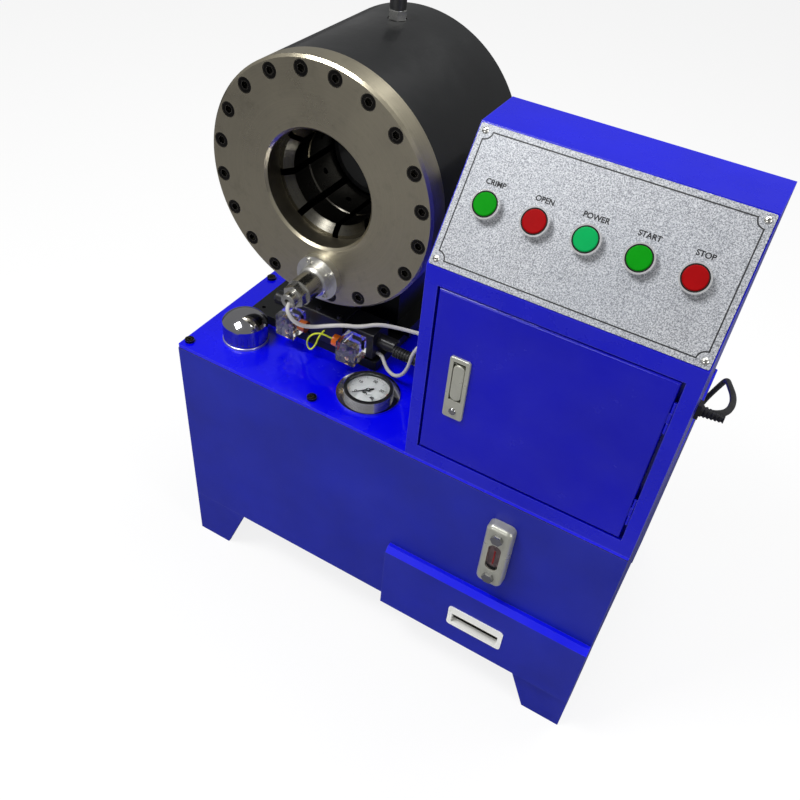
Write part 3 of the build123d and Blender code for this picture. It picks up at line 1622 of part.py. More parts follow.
# Test port on the head: a threaded coupling with a screw cap
port_top = head_height + head_radius - port_sink
with BuildPart() as test_port:
    with BuildSketch(Plane.XY.offset(port_top)):
        with Locations((head_x, port_y)):
            RegularPolygon(port_flat - seat_gap, 6)
    extrude(amount=port_hex)
    with BuildSketch(Plane.XY.offset(port_top + port_hex)):
        with Locations((head_x, port_y)):
            Circle(port_cap)
    extrude(amount=port_cap_length)
    chamfer(test_port.faces().sort_by(Axis.Z)[-1].edges(), length=port_cap / 6)
    with BuildSketch(Plane.XY.offset(port_top)):
        with Locations((head_x, port_y)):
            Circle(port_thread - seat_gap)
    extrude(amount=-port_reach + port_sink)
    with BuildSketch(Plane.XY.offset(port_top - port_reach + port_sink)):
        with Locations((head_x, port_y)):
            Circle(oil_way)
    extrude(amount=port_reach, mode=Mode.SUBTRACT)
test_port.part.label = "test_port"
export_step(test_port.part, "parts/test_port.step")

# Motor: a finned housing on the lid with a terminal box and a slotted fan cover
motor_top = lid_top + motor_height
cover_bottom = motor_top - cover_overlap
cover_top = cover_bottom + fan_cover_height
with BuildPart() as motor_body:
    with BuildSketch(Plane.XY.offset(lid_top)):
        with Locations(motor_at):
            Circle(motor_radius)
    extrude(amount=motor_foot)
    with BuildSketch(Plane.XY.offset(lid_top)):
        with Locations(motor_at):
            Circle(motor_core)
    extrude(amount=motor_height)
    with BuildSketch(Plane.XY.offset(lid_top + motor_foot)):
        with Locations(motor_at):
            with PolarLocations(motor_core + fin_height / 2, fin_count):
                Rectangle(fin_height + fin_plate, fin_plate)
    extrude(amount=motor_height - 2 * motor_foot - cover_overlap)
    with BuildSketch(Plane.XY.offset(cover_bottom)):
        with Locations(motor_at):
            Circle(fan_cover)
    extrude(amount=fan_cover_height)
    fillet(motor_body.faces().sort_by(Axis.Z)[-1].edges(), radius=cover_bend)
    with BuildSketch(Plane.XY.offset(motor_top)):
        with Locations(motor_at):
            Circle(fan_cover - cabinet_sheet)
    extrude(amount=fan_cover_height - cover_overlap - cabinet_sheet, mode=Mode.SUBTRACT)
    with BuildSketch(Plane.XY.offset(cover_top)):
        with Locations(motor_at):
            with PolarLocations(fan_cover * 0.55, vent_count):
                SlotOverall(vent_length, vent_width)
    extrude(amount=-cabinet_sheet, mode=Mode.SUBTRACT)
    slab(
        motor_at[0] - box_reach, motor_at[0] - motor_core + fin_height,
        motor_at[1] - box_width / 2, motor_at[1] + box_width / 2,
        box_bottom, box_bottom + box_height,
    )
    with BuildSketch(Plane.XY.offset(lid_top)):
        with Locations(motor_at):
            Circle(motor_cavity)
    extrude(amount=motor_height - motor_foot, mode=Mode.SUBTRACT)
    with BuildSketch(Plane.XY.offset(lid_top)):
        with Locations(motor_at):
            Circle(shaft + running_gap)
    extrude(amount=motor_height, mode=Mode.SUBTRACT)
motor_body.part.label = "motor_body"
export_step(motor_body.part, "parts/motor_body.step")

# Motor rotor: the shaft with its core and the cooling fan
rotor_bottom = tank_top - pump_bell
with BuildPart() as motor_rotor:
    with BuildSketch(Plane.XY.offset(rotor_bottom - pump_shaft)):
        with Locations(motor_at):
            Circle(shaft)
    extrude(amount=cover_top - fan_clear - rotor_bottom + pump_shaft)
    with BuildSketch(Plane.XY.offset(lid_top + rotor_up)):
        with Locations(motor_at):
            Circle(motor_cavity - rotor_gap)
    extrude(amount=rotor_core)
    with BuildSketch(Plane.XY.offset(motor_top + fan_clear)):
        with Locations(motor_at):
            Circle(fan_hub)
            with PolarLocations(fan_hub + (fan_radius - fan_hub) / 2, fan_blades):
                Rectangle(fan_radius - fan_hub + 2, fan_blade)
    extrude(amount=fan_cover_height - cover_overlap - cabinet_sheet - 2 * fan_clear)
motor_rotor.part.label = "motor_rotor"
export_step(motor_rotor.part, "parts/motor_rotor.step")

# Gear pump under the lid: a bell, the pump's block and a suction pipe
with BuildPart() as gear_pump:
    with BuildSketch(Plane.XY.offset(tank_top)):
        with Locations(motor_at):
            Circle(bell_flange)
    extrude(amount=-bell_plate)
    with BuildSketch(Plane.XY.offset(tank_top)):
        with Locations(motor_at):
            Circle(bell_radius)
    extrude(amount=-pump_bell)
    with BuildSketch(Plane.XY.offset(tank_top)):
        with Locations(motor_at):
            Circle(bell_bore)
    extrude(amount=-pump_bell + bell_plate, mode=Mode.SUBTRACT)
    slab(
        motor_at[0] - pump_width / 2, motor_at[0] + pump_width / 2,
        motor_at[1] - pump_depth / 2, motor_at[1] + pump_depth / 2,
        rotor_bottom - pump_block, rotor_bottom,
    )
    with BuildLine():
        suction = FilletPolyline(
            (motor_at[0] - pump_width / 2, motor_at[1], rotor_bottom - pump_block / 2),
            (bay_left - suction_reach, motor_at[1], rotor_bottom - pump_block / 2),
            (bay_left - suction_reach, motor_at[1], suction_bottom),
            radius=suction_bend,
        )
    with BuildSketch(Plane(origin=suction @ 0, z_dir=suction % 0)):
        Circle(suction_pipe)
    sweep(path=suction)
    with BuildSketch(Plane.XY.offset(rotor_bottom)):
        with Locations(motor_at):
            Circle(shaft + running_gap)
    extrude(amount=bell_plate, mode=Mode.SUBTRACT)
    with BuildSketch(Plane.XY.offset(rotor_bottom)):
        with Locations(motor_at):
            Circle(shaft + running_gap)
    extrude(amount=-pump_shaft - seat_gap, mode=Mode.SUBTRACT)
gear_pump.part.label = "gear_pump"
export_step(gear_pump.part, "parts/gear_pump.step")

# Cable glands in the cabinet's sides
with BuildPart() as cable_glands:
    with BuildSketch(side_plane(right)):
        with Locations((front + cord_exit_y, cord_exit_z)):
            RegularPolygon(gland_flange, 6)
    extrude(amount=gland_length)
    with BuildSketch(side_plane(right - cabinet_sheet)):
        with Locations((front + cord_exit_y, cord_exit_z)):
            RegularPolygon(gland_flange, 6)
    extrude(amount=-gland_length)
    with BuildSketch(side_plane(right)):
        with Locations((front + cord_exit_y, cord_exit_z)):
            Circle(gland_thread)
    extrude(amount=-cabinet_sheet - gland_length)
    with BuildSketch(side_plane(right)):
        with Locations((front + cord_exit_y, cord_exit_z)):
            Circle(cord_diameter / 2)
    extrude(amount=gland_length + cabinet_sheet, both=True, mode=Mode.SUBTRACT)
    with BuildSketch(side_plane(cabinet_left)):
        with Locations(*[(front + y, z) for y, z in cable_entries]):
            Circle(small_gland)
    extrude(amount=-gland_length)
    with BuildSketch(side_plane(cabinet_left)):
        with Locations(*[(front + y, z) for y, z in cable_entries]):
            Circle(entry_thread)
    extrude(amount=gland_length)
    with BuildSketch(side_plane(cabinet_left)):
        with Locations(*[(front + y, z) for y, z in cable_entries]):
            Circle(cable_diameter / 2)
    extrude(amount=gland_length, both=True, mode=Mode.SUBTRACT)
cable_glands.part.label = "cable_glands"
export_step(cable_glands.part, "parts/cable_glands.step")

# Ribbed conduit from the valve to the cabinet
conduit_from = body_x[1] + coil_length + core_reach
conduit_to = cabinet_left + cabinet_sheet
conduit_axis = lid_top + conduit_z
ribs = int((conduit_to - conduit_from) / conduit_pitch)
rib_step = (conduit_to - conduit_from) / (2 * ribs)
rib_points = [(conduit_from, 0), (conduit_from, conduit_radius)]
for i in range(1, 2 * ribs):
    steps = (conduit_radius, conduit_root) if i % 2 else (conduit_root, conduit_radius)
    rib_points += [(conduit_from + i * rib_step, radius) for radius in steps]
rib_points += [(conduit_to, conduit_root), (conduit_to, 0)]
with BuildPart() as cable_conduit:
    conduit_plane = Plane(
        origin=(0, front + conduit_y, conduit_axis), x_dir=(1, 0, 0), z_dir=(0, -1, 0)
    )
    with BuildSketch(conduit_plane):
        with BuildLine():
            Polyline(*rib_points, close=True)
        make_face()
    revolve(axis=Axis((0, front + conduit_y, conduit_axis), (1, 0, 0)))
cable_conduit.part.label = "cable_conduit"
export_step(cable_conduit.part, "parts/cable_conduit.step")


def placed(points):
    """Corner points moved from the tank's corner into the machine's frame."""
    return [(left + x, front + y, z) for x, y, z in points]


def bend_radii(points):
    """A bend radius for each inner corner, from its shorter run and its turn."""
    radii = []
    for before, at, after in zip(points, points[1:], points[2:]):
        into = Vector(*at) - Vector(*before)
        out = Vector(*after) - Vector(*at)
        turn = radians(into.get_angle(out))
        radii.append(bend_share * min(into.length, out.length) / tan(turn / 2))
    return radii


def make_cord(points, diameter, name):
    """A round cord along its corner points, with a smooth bend at each corner."""
    corners = placed(points)
    radii = bend_radii(corners)
    with BuildPart() as cord:
        with BuildLine() as run:
            FilletPolyline(*corners, radius=radii)
        with BuildSketch(Plane(origin=run.line @ 0, z_dir=run.line % 0)):
            Circle(diameter / 2)
        sweep(path=run.line)
    length = sum(edge.length for edge in run.edges())
    print(name, "length", round(length, 1), "bends", [round(r, 1) for r in radii])
    return cord


sensor_cable = make_cord(sensor_points, cable_diameter, "sensor_cable")
sensor_cable.part.label = "sensor_cable"
export_step(sensor_cable.part, "parts/sensor_cable.step")
solenoid_cable = make_cord(solenoid_points, cable_diameter, "solenoid_cable")
solenoid_cable.part.label = "solenoid_cable"
export_step(solenoid_cable.part, "parts/solenoid_cable.step")
earth_wire = make_cord(earth_points, wire_diameter, "earth_wire")
earth_wire.part.label = "earth_wire"
export_step(earth_wire.part, "parts/earth_wire.step")
power_run = make_cord(power_points, cord_diameter, "power_cord")
plug_y = front + coil_y + coil_turn
with BuildPart() as power_cord:
    add(power_run.part)
    with Locations(Location((left + plug_x + plug_tail / 2, plug_y, plug_z), (0, 90, 0))):
        Cylinder(cord_diameter / 2, plug_tail)
power_cord.part.label = "power_cord"
export_step(power_cord.part, "parts/power_cord.step")

# The rest of the power cord: a ring that stands for its coil
coil_at = (left + coil_x, front + coil_y)
with BuildPart() as cord_coil:
    with BuildSketch():
        with Locations(coil_at):
            Circle(coil_turn + cord_diameter / 2)
            Circle(coil_turn - coil_band, mode=Mode.SUBTRACT)
    extrude(amount=coil_height)
    fillet(cord_coil.edges(), radius=cord_diameter / 3)
cord_coil.part.label = "cord_coil"
export_step(cord_coil.part, "parts/cord_coil.step")

# Two-pin plug, lying flat
with BuildPart() as power_plug:
    with BuildSketch(side_plane(left + plug_x - plug_grip)):
        with Locations((plug_y, plug_z)):
            RectangleRounded(plug_width, 2 * plug_z, radius=plug_z * 0.8)
    extrude(amount=-plug_body)
    with BuildSketch(side_plane(left + plug_x - plug_grip)):
        with Locations((plug_y, plug_z)):
            Circle(plug_z * 0.8)
    with BuildSketch(side_plane(left + plug_x)):
        with Locations((plug_y, plug_z)):
            Circle(plug_z / 2)
    loft()
    with BuildSketch(side_plane(left + plug_x - plug_grip - plug_body)):
        with Locations((plug_y, plug_z)):
            with Locations((-plug_pin_pitch / 2, 0), (plug_pin_pitch / 2, 0)):
                Circle(plug_pin)
    extrude(amount=-plug_pin_length)
power_plug.part.label = "power_plug"
export_step(power_plug.part, "parts/power_plug.step")
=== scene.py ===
import bpy
import bmesh
from math import cos, hypot, radians, sin
from mathutils import Matrix, Vector


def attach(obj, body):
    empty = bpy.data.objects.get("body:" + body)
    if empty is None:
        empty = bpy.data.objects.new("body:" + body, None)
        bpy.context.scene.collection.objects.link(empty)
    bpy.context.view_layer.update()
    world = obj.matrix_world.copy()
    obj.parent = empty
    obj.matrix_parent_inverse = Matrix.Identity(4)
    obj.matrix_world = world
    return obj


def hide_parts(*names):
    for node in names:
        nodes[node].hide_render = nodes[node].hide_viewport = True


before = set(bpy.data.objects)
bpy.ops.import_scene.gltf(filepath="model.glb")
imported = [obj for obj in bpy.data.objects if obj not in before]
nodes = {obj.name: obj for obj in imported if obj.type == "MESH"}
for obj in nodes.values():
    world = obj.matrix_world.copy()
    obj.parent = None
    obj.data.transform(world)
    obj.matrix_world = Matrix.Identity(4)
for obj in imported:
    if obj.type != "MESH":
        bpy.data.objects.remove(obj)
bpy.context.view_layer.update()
scene = bpy.context.scene

# Main places, in millimetres from the tank's front left corner
middle_x = 325.0
middle_y = 187.5
head_at = (165.0, 90.0, 643.5)
scale_at = (173.0, 30.0, 530.0)
gauge_x = 267.0
gauge_y = 64.0
coil_x = 560.0
coil_y = 500.0

# Control panel: its lower edge, its slope, and its five stations
panel_x = 505.0
panel_foot = 669.0
panel_sheet = 1.5
slope_run = 88.0
slope_rise = 120.0
border_half = (137.0, 66.0)
border_notch = 8.5
station_shift = -3.0
station_pitch = 52.0
station_rise = 73.0
word_rise = 22.5
bezel_inner = 13.0

slope_up = Vector((0, slope_run, slope_rise)).normalized()
slope_out = Vector((0, -slope_rise, slope_run)).normalized()
slope_length = hypot(slope_run, slope_rise)
panel_basis = ((1, 0, 0), tuple(slope_up), tuple(slope_out))
flat_basis = ((1, 0, 0), (0, 1, 0), (0, 0, 1))


def M(x, y, z):
    """A point given in millimetres from the tank's front left corner, as metres in the row frame."""
    return Vector(((x - middle_x) / 1000, (y - middle_y) / 1000, z / 1000))


def on_panel(across, rise, lift=0.0):
    """A point on the plate: millimetres from its middle line and up from its lower edge."""
    foot = M(panel_x, 0, panel_foot)
    sideways = Vector((across / 1000, 0, 0))
    return foot + sideways + slope_up * rise / 1000 + slope_out * (panel_sheet + lift) / 1000


# Camera, at the photograph's viewing point
camera_data = bpy.data.cameras.new("camera")
camera_data.lens = 37.42
camera_data.sensor_width = 36.0
camera = bpy.data.objects.new("camera", camera_data)
camera.matrix_world = Matrix((
    (0.8612, -0.3902, 0.3258, 0.3377),
    (0.5026, 0.5576, -0.6607, -0.8295),
    (0.0761, 0.7327, 0.6763, 1.1320),
    (0, 0, 0, 1),
))
scene.collection.objects.link(camera)
scene.camera = camera


# Materials
class Look:
    """A node material with its helpers."""

    sockets = {
        "color": "Base Color", "metallic": "Metallic", "roughness": "Roughness", "ior": "IOR",
        "specular": "Specular IOR Level", "coat": "Coat Weight", "coat_roughness": "Coat Roughness",
        "transmission": "Transmission Weight",
    }

    def __init__(self, name):
        self.material = bpy.data.materials.new(name)
        self.material.use_nodes = True
        self.tree = self.material.node_tree
        self.bsdf = self.tree.nodes["Principled BSDF"]
        self.object_coords = self.node("ShaderNodeTexCoord").outputs["Object"]
        self.x, self.y, self.z = self.split(self.object_coords)

    def node(self, kind, **settings):
        made = self.tree.nodes.new(kind)
        for key, value in settings.items():
            setattr(made, key, value)
        return made

    def link(self, a, b):
        self.tree.links.new(a, b)

    def split(self, vector):
        made = self.node("ShaderNodeSeparateXYZ")
        self.link(vector, made.inputs[0])
        return made.outputs

    def math(self, operation, a, b=None):
        made = self.node("ShaderNodeMath", operation=operation)
        for socket, value in zip(made.inputs, (a, b)):
            if isinstance(value, (int, float)):
                socket.default_value = value
            elif value is not None:
                self.link(value, socket)
        return made.outputs[0]

    def distance(self, a, b):
        """How far a point is from the line where both values are nought."""
        squares = self.math("MULTIPLY", a, a), self.math("MULTIPLY", b, b)
        return self.math("SQRT", self.math("ADD", *squares))

    def up_slope(self):
        """How far up the panel a point lies, in metres from the plate's lower edge."""
        run = self.math("MULTIPLY", self.y, slope_up.y)
        rise = self.math("MULTIPLY", self.z, slope_up.z)
        foot = M(panel_x, 0, panel_foot).dot(slope_up)
        return self.math("SUBTRACT", self.math("ADD", run, rise), foot)

    def moved(self, origin):
        """The object's coordinates, counted from another origin."""
        mapping = self.node("ShaderNodeMapping")
        mapping.inputs["Location"].default_value = tuple(-c for c in origin)
        self.link(self.object_coords, mapping.inputs["Vector"])
        return mapping.outputs[0]

    def noise(self, scale, detail=4.0, rough=0.55, vector=None):
        made = self.node("ShaderNodeTexNoise")
        made.inputs["Scale"].default_value = scale
        made.inputs["Detail"].default_value = detail
        made.inputs["Roughness"].default_value = rough
        self.link(vector or self.object_coords, made.inputs["Vector"])
        return made.outputs["Fac"]

    def ramp(self, value, low, high, out_low=0.0, out_high=1.0):
        made = self.node("ShaderNodeMapRange", clamp=True)
        made.inputs["From Min"].default_value = low
        made.inputs["From Max"].default_value = high
        made.inputs["To Min"].default_value = out_low
        made.inputs["To Max"].default_value = out_high
        self.link(value, made.inputs["Value"])
        return made.outputs["Result"]

    def mix(self, factor, a, b):
        """Colour a where the factor is 0, colour b where it is 1."""
        made = self.node("ShaderNodeMix", data_type="RGBA")
        self.link(factor, made.inputs[0])
        for socket, value in ((made.inputs[6], a), (made.inputs[7], b)):
            if isinstance(value, tuple):
                socket.default_value = (*value, 1)
            else:
                self.link(value, socket)
        return made.outputs[2]

    def drift(self, noise, color, vary, low=0.3, high=0.7):
        """A colour that goes darker and paler with a noise."""
        return self.mix(self.ramp(noise, low, high), tint(color, 1 - vary), tint(color, 1 + vary))

    def edges(self, radius=0.0012, low=0.02, high=0.25):
        """1 along the edges of the piece, 0 on its flats."""
        bevel = self.node("ShaderNodeBevel", samples=6)
        bevel.inputs["Radius"].default_value = radius
        geometry = self.node("ShaderNodeNewGeometry")
        dot = self.node("ShaderNodeVectorMath", operation="DOT_PRODUCT")
        self.link(bevel.outputs[0], dot.inputs[0])
        self.link(geometry.outputs["Normal"], dot.inputs[1])
        return self.ramp(self.math("SUBTRACT", 1.0, dot.outputs["Value"]), low, high)

    def between(self, value, low, high, soft=0.0002):
        """1 where the value lies between the two ends, 0 elsewhere."""
        over = self.ramp(value, low, low + soft)
        under = self.ramp(value, high - soft, high, 1.0, 0.0)
        return self.math("MULTIPLY", over, under)

    def bump(self, height, strength, distance):
        made = self.node("ShaderNodeBump")
        made.inputs["Strength"].default_value = strength
        made.inputs["Distance"].default_value = distance
        self.link(height, made.inputs["Height"])
        self.link(made.outputs[0], self.bsdf.inputs["Normal"])

    def set(self, **values):
        """Give the shader's sockets a number, a colour or a node's output."""
        for key, value in values.items():
            socket = self.bsdf.inputs[self.sockets[key]]
            if isinstance(value, (int, float)):
                socket.default_value = value
            elif isinstance(value, tuple):
                socket.default_value = (*value, 1)
            else:
                self.link(value, socket)


def tint(color, factor):
    return tuple(min(1.0, c * factor) for c in color)


def painted(name, color, rough, coat, vary, peel, edge, grime=0.0, lip=None):
    """Sprayed enamel: slow colour drift, orange peel, thin paler edges, and, if named, a band of heights
    painted brighter as a painted highlight where top light falls on a lip.
    """
    look = Look(name)
    base = look.drift(look.noise(7.0, 5.0), color, vary)
    # Painted highlight: the same paint, coloured brighter over a band of heights where light from above
    # falls on a lip.
    if lip:
        low, high, bright = lip
        base = look.mix(look.between(look.z, low, high), base, bright)
    if grime:
        spots = look.ramp(look.noise(38.0, 8.0, 0.7), 0.56, 0.74)
        base = look.mix(look.math("MULTIPLY", spots, grime), base, tint(color, 0.35))
    rim = look.math("MULTIPLY", look.edges(), edge)
    base = look.mix(rim, base, tuple(0.6 * c + 0.25 for c in color))
    look.set(color=base, coat=coat, coat_roughness=0.08, specular=0.28)
    smear = look.noise(16.0, 6.0, 0.6)
    look.set(roughness=look.ramp(smear, 0.3, 0.7, rough - 0.06, rough + 0.1))
    look.bump(look.noise(420.0, 2.0), peel, 0.0006)
    return look.material


def steel(name, color, rough, vary=0.15, edge=0.5, bump=0.08, dirt=0.0, metal=1.0, rim=None):
    """Bare or plated steel with a fine grain, dirt spots and bright edges."""
    look = Look(name)
    fine = look.noise(900.0, 3.0, 0.6)
    slow = look.noise(24.0, 6.0, 0.6)
    base = look.drift(fine, color, vary, 0.25, 0.75)
    base = look.mix(look.ramp(slow, 0.35, 0.8, 0.0, 0.45), base, tint(color, 0.7))
    if dirt:
        spots = look.ramp(look.noise(60.0, 8.0, 0.72), 0.5, 0.72)
        base = look.mix(look.math("MULTIPLY", spots, dirt), base, (0.02, 0.018, 0.015))
    if edge:
        base = look.mix(look.math("MULTIPLY", look.edges(0.0008), edge), base, rim or tint(color, 1.9))
    look.set(color=base, metallic=metal)
    look.set(roughness=look.ramp(slow, 0.3, 0.75, rough - 0.05, rough + 0.1))
    look.bump(fine, bump, 0.0002)
    return look.material


def plastic(name, color, rough, vary, grain, bump, coat=0.0, shine=0.25, rim=None):
    """Moulded plastic or rubber: a fine moulded grain, faint rubbed patches, and, if named, a darker rim
    that is a painted dark reflection on the rounded edge.
    """
    look = Look(name)
    base = look.drift(look.noise(35.0, 5.0), color, vary)
    # Painted reflection: the rounded rim is coloured darker, as dark surroundings mirrored in it.
    if rim is not None:
        base = look.mix(look.edges(0.0016, 0.01, 0.12), base, tint(color, rim))
    look.set(color=base, coat=coat, coat_roughness=0.1, specular=shine)
    look.set(roughness=look.ramp(look.noise(50.0, 6.0), 0.3, 0.75, rough - 0.06, rough + 0.12))
    look.bump(look.noise(grain, 3.0), bump, 0.0003)
    return look.material


def turned(name, color, centre, rough, vary, rings, edge, dirt):
    """Steel turned about a line along Y: fine rings on its faces, and bands on its sides."""
    look = Look(name)
    x, y, z = look.split(look.moved(centre))
    radius = look.distance(x, z)
    combined = look.node("ShaderNodeCombineXYZ")
    look.link(look.math("ADD", radius, y), combined.inputs[0])
    look.link(look.math("MULTIPLY", radius, 0.13), combined.inputs[1])
    fine = look.noise(rings, 3.0, 0.7, combined.outputs[0])
    slow = look.noise(14.0, 6.0, 0.6)
    base = look.drift(fine, color, vary)
    base = look.mix(look.ramp(slow, 0.4, 0.8, 0.0, 0.35), base, tint(color, 0.72))
    spots = look.ramp(look.noise(70.0, 8.0, 0.72), 0.52, 0.74)
    base = look.mix(look.math("MULTIPLY", spots, dirt), base, (0.02, 0.018, 0.014))
    base = look.mix(look.math("MULTIPLY", look.edges(0.001), edge), base, tint(color, 1.8))
    look.set(color=base, metallic=1.0)
    look.set(roughness=look.ramp(slow, 0.3, 0.75, rough - 0.04, rough + 0.1))
    look.bump(fine, 0.12, 0.0001)
    return look.material


def clear(name, color, rough):
    """Glass or a clear window, a little uneven in tint and gloss."""
    look = Look(name)
    base = look.mix(look.ramp(look.noise(30.0, 4.0), 0.3, 0.7), tint(color, 0.96), color)
    look.set(color=base, transmission=1.0, ior=1.45)
    look.set(roughness=look.ramp(look.noise(45.0, 5.0), 0.3, 0.7, rough, rough + 0.06))
    return look.material


def panel_plate(name):
    """Speckled alloy plate with a printed border, notched round its four corner screws."""
    look = Look(name)
    across = look.math("ABSOLUTE", look.math("SUBTRACT", look.x, M(panel_x, 0, 0).x))
    rise = look.math("ABSOLUTE", look.math("SUBTRACT", look.up_slope(), slope_length / 2000))
    side = look.math("SUBTRACT", across, border_half[0] / 1000)
    top = look.math("SUBTRACT", rise, border_half[1] / 1000)
    notch = look.math("SUBTRACT", border_notch / 1000, look.distance(side, top))
    shape = look.math("MAXIMUM", look.math("MAXIMUM", side, top), notch)
    line = look.between(shape, -0.0008, 0.0007, 0.0001)
    speck = look.noise(740.0, 2.0, 0.9)
    cloud = look.noise(9.0, 4.0)
    base = look.mix(look.ramp(speck, 0.38, 0.62), (0.11, 0.115, 0.13), (0.51, 0.52, 0.54))
    base = look.mix(look.ramp(cloud, 0.3, 0.75, 0.0, 0.3), base, (0.24, 0.27, 0.31))
    base = look.mix(line, base, (0.01, 0.01, 0.012))
    look.set(color=base, metallic=look.ramp(line, 0.0, 1.0, 0.35, 0.0), specular=0.4)
    look.set(roughness=look.ramp(speck, 0.3, 0.7, 0.42, 0.6))
    look.bump(speck, 0.12, 0.0002)
    return look.material


def clear_plug(name):
    """Clear moulded boxes whose cable glands, between them, are orange; the left gland is painted darker as
    painted shade.
    """
    look = Look(name)
    gland = look.between(look.x, M(140.5, 0, 0).x, M(206.5, 0, 0).x)
    # Painted shade: the left gland, the same orange part as the right, is coloured darker.
    shaded_gland = look.between(look.x, M(140.5, 0, 0).x, M(170, 0, 0).x)
    orange = look.mix(shaded_gland, (0.85, 0.16, 0.01), (0.28, 0.06, 0.012))
    haze = look.mix(look.ramp(look.noise(60.0, 4.0), 0.3, 0.7), (0.90, 0.90, 0.88), (0.99, 0.99, 0.98))
    look.set(color=look.mix(gland, haze, orange), ior=1.46, specular=0.5)
    look.set(transmission=look.ramp(gland, 0.0, 1.0, 0.97, 0.0))
    look.set(roughness=look.ramp(look.noise(45.0, 5.0), 0.3, 0.7, 0.01, 0.05))
    look.bump(look.noise(260.0, 2.0), 0.02, 0.0003)
    return look.material


def cast_pull(name):
    """Pale cast metal, with painted shade, black, at the back of its recess."""
    look = Look(name)
    # Painted shade: the back of the recess, under the lip, is coloured black.
    recess_shade = look.ramp(look.y, M(0, -5.2, 0).y, M(0, -4.8, 0).y)
    slow = look.noise(24.0, 6.0, 0.6)
    pale = look.mix(look.ramp(slow, 0.35, 0.75), (0.90, 0.90, 0.86), (0.76, 0.76, 0.72))
    pale = look.mix(look.edges(0.0008), pale, (1.0, 1.0, 0.98))
    look.set(color=look.mix(recess_shade, pale, (0.02, 0.017, 0.012)), metallic=0.2)
    look.set(roughness=look.ramp(slow, 0.3, 0.75, 0.36, 0.5))
    look.bump(look.noise(900.0, 3.0), 0.03, 0.0002)
    return look.material


def station_chrome(name):
    """Polished rings round the five stations, with painted shade, black and not metallic, inside their
    inner edges, and painted white highlights along their edges.
    """
    look = Look(name)
    pitch = station_pitch / 1000
    first = M(panel_x + station_shift, 0, 0).x
    across = look.math("FLOORED_MODULO", look.math("ADD", look.x, pitch / 2 - first), pitch)
    across = look.math("SUBTRACT", across, pitch / 2)
    rise = look.math("SUBTRACT", look.up_slope(), station_rise / 1000)
    inner = bezel_inner / 1000
    # Painted shade: inside the ring's inner edge the colour is black.
    inside = look.ramp(look.distance(across, rise), inner, inner + 0.0002, 1.0, 0.0)
    slow = look.noise(40.0, 6.0, 0.6)
    shine = look.mix(look.ramp(slow, 0.35, 0.75), (0.90, 0.90, 0.91), (0.74, 0.74, 0.76))
    # Painted highlight: the ring's edges are coloured white.
    shine = look.mix(look.edges(0.0008), shine, (1.0, 1.0, 1.0))
    look.set(color=look.mix(inside, shine, (0.010, 0.011, 0.010)))
    look.set(metallic=look.ramp(inside, 0.0, 1.0, 0.8, 0.0))
    look.set(roughness=look.ramp(slow, 0.3, 0.75, 0.08, 0.2))
    look.bump(look.noise(600.0, 2.0), 0.02, 0.0002)
    return look.material


def gauge_flange(name):
    """Polished flange whose upstanding rim is black next to the dial."""
    look = Look(name)
    middle = M(gauge_x, gauge_y, 0)
    radius = look.distance(
        look.math("SUBTRACT", look.x, middle.x), look.math("SUBTRACT", look.y, middle.y),
    )
    over = look.ramp(look.z, M(0, 0, 399.6).z, M(0, 0, 399.8).z)
    rim = look.math("MULTIPLY", look.between(radius, 0.0275, 0.0331), over)
    slow = look.noise(40.0, 6.0, 0.6)
    shine = look.mix(look.ramp(slow, 0.35, 0.75), (0.78, 0.78, 0.80), (0.62, 0.62, 0.64))
    look.set(color=look.mix(rim, shine, (0.012, 0.012, 0.013)))
    look.set(metallic=look.ramp(rim, 0.0, 1.0, 1.0, 0.0))
    look.set(roughness=look.ramp(slow, 0.3, 0.75, 0.07, 0.2))
    look.bump(look.noise(600.0, 2.0), 0.02, 0.0002)
    return look.material


def two_band(name, split, low_color, high_color, low_rough, high_rough):
    """Bright metal under a height, given in millimetres, and a dark plastic over it."""
    look = Look(name)
    over = look.ramp(look.z, split / 1000, split / 1000 + 0.0002)
    fine = look.noise(700.0, 3.0)
    low = look.mix(look.ramp(fine, 0.3, 0.7), tint(low_color, 0.85), tint(low_color, 1.1))
    high = look.mix(look.ramp(fine, 0.3, 0.7), tint(high_color, 0.8), tint(high_color, 1.2))
    look.set(color=look.mix(over, low, high), metallic=look.ramp(over, 0.0, 1.0, 1.0, 0.0))
    look.set(roughness=look.ramp(over, 0.0, 1.0, low_rough, high_rough))
    look.bump(fine, 0.05, 0.0002)
    return look.material


looks = {}


def add(maker, name, *values, **named):
    """Make one look and keep it under its name."""
    looks[name] = maker(name, *values, **named)


head_middle = M(*head_at)
scale_middle = M(*scale_at)
blue_side = (0.003, 0.009, 0.27)
# The drawer's upper lip, 203.5 to 212 mm up, is painted bright blue as painted top light on its bevel.
lip = (M(0, 0, 203.5).z, M(0, 0, 212).z, (0.0, 0.002, 0.62))
add(painted, "tank_blue", blue_side, rough=0.36, coat=0.12, vary=0.16, peel=0.08, edge=0.25, grime=0.12)
add(painted, "drawer_blue", blue_side, rough=0.36, coat=0.12, vary=0.16, peel=0.08, edge=0.25, grime=0.12,
    lip=lip)
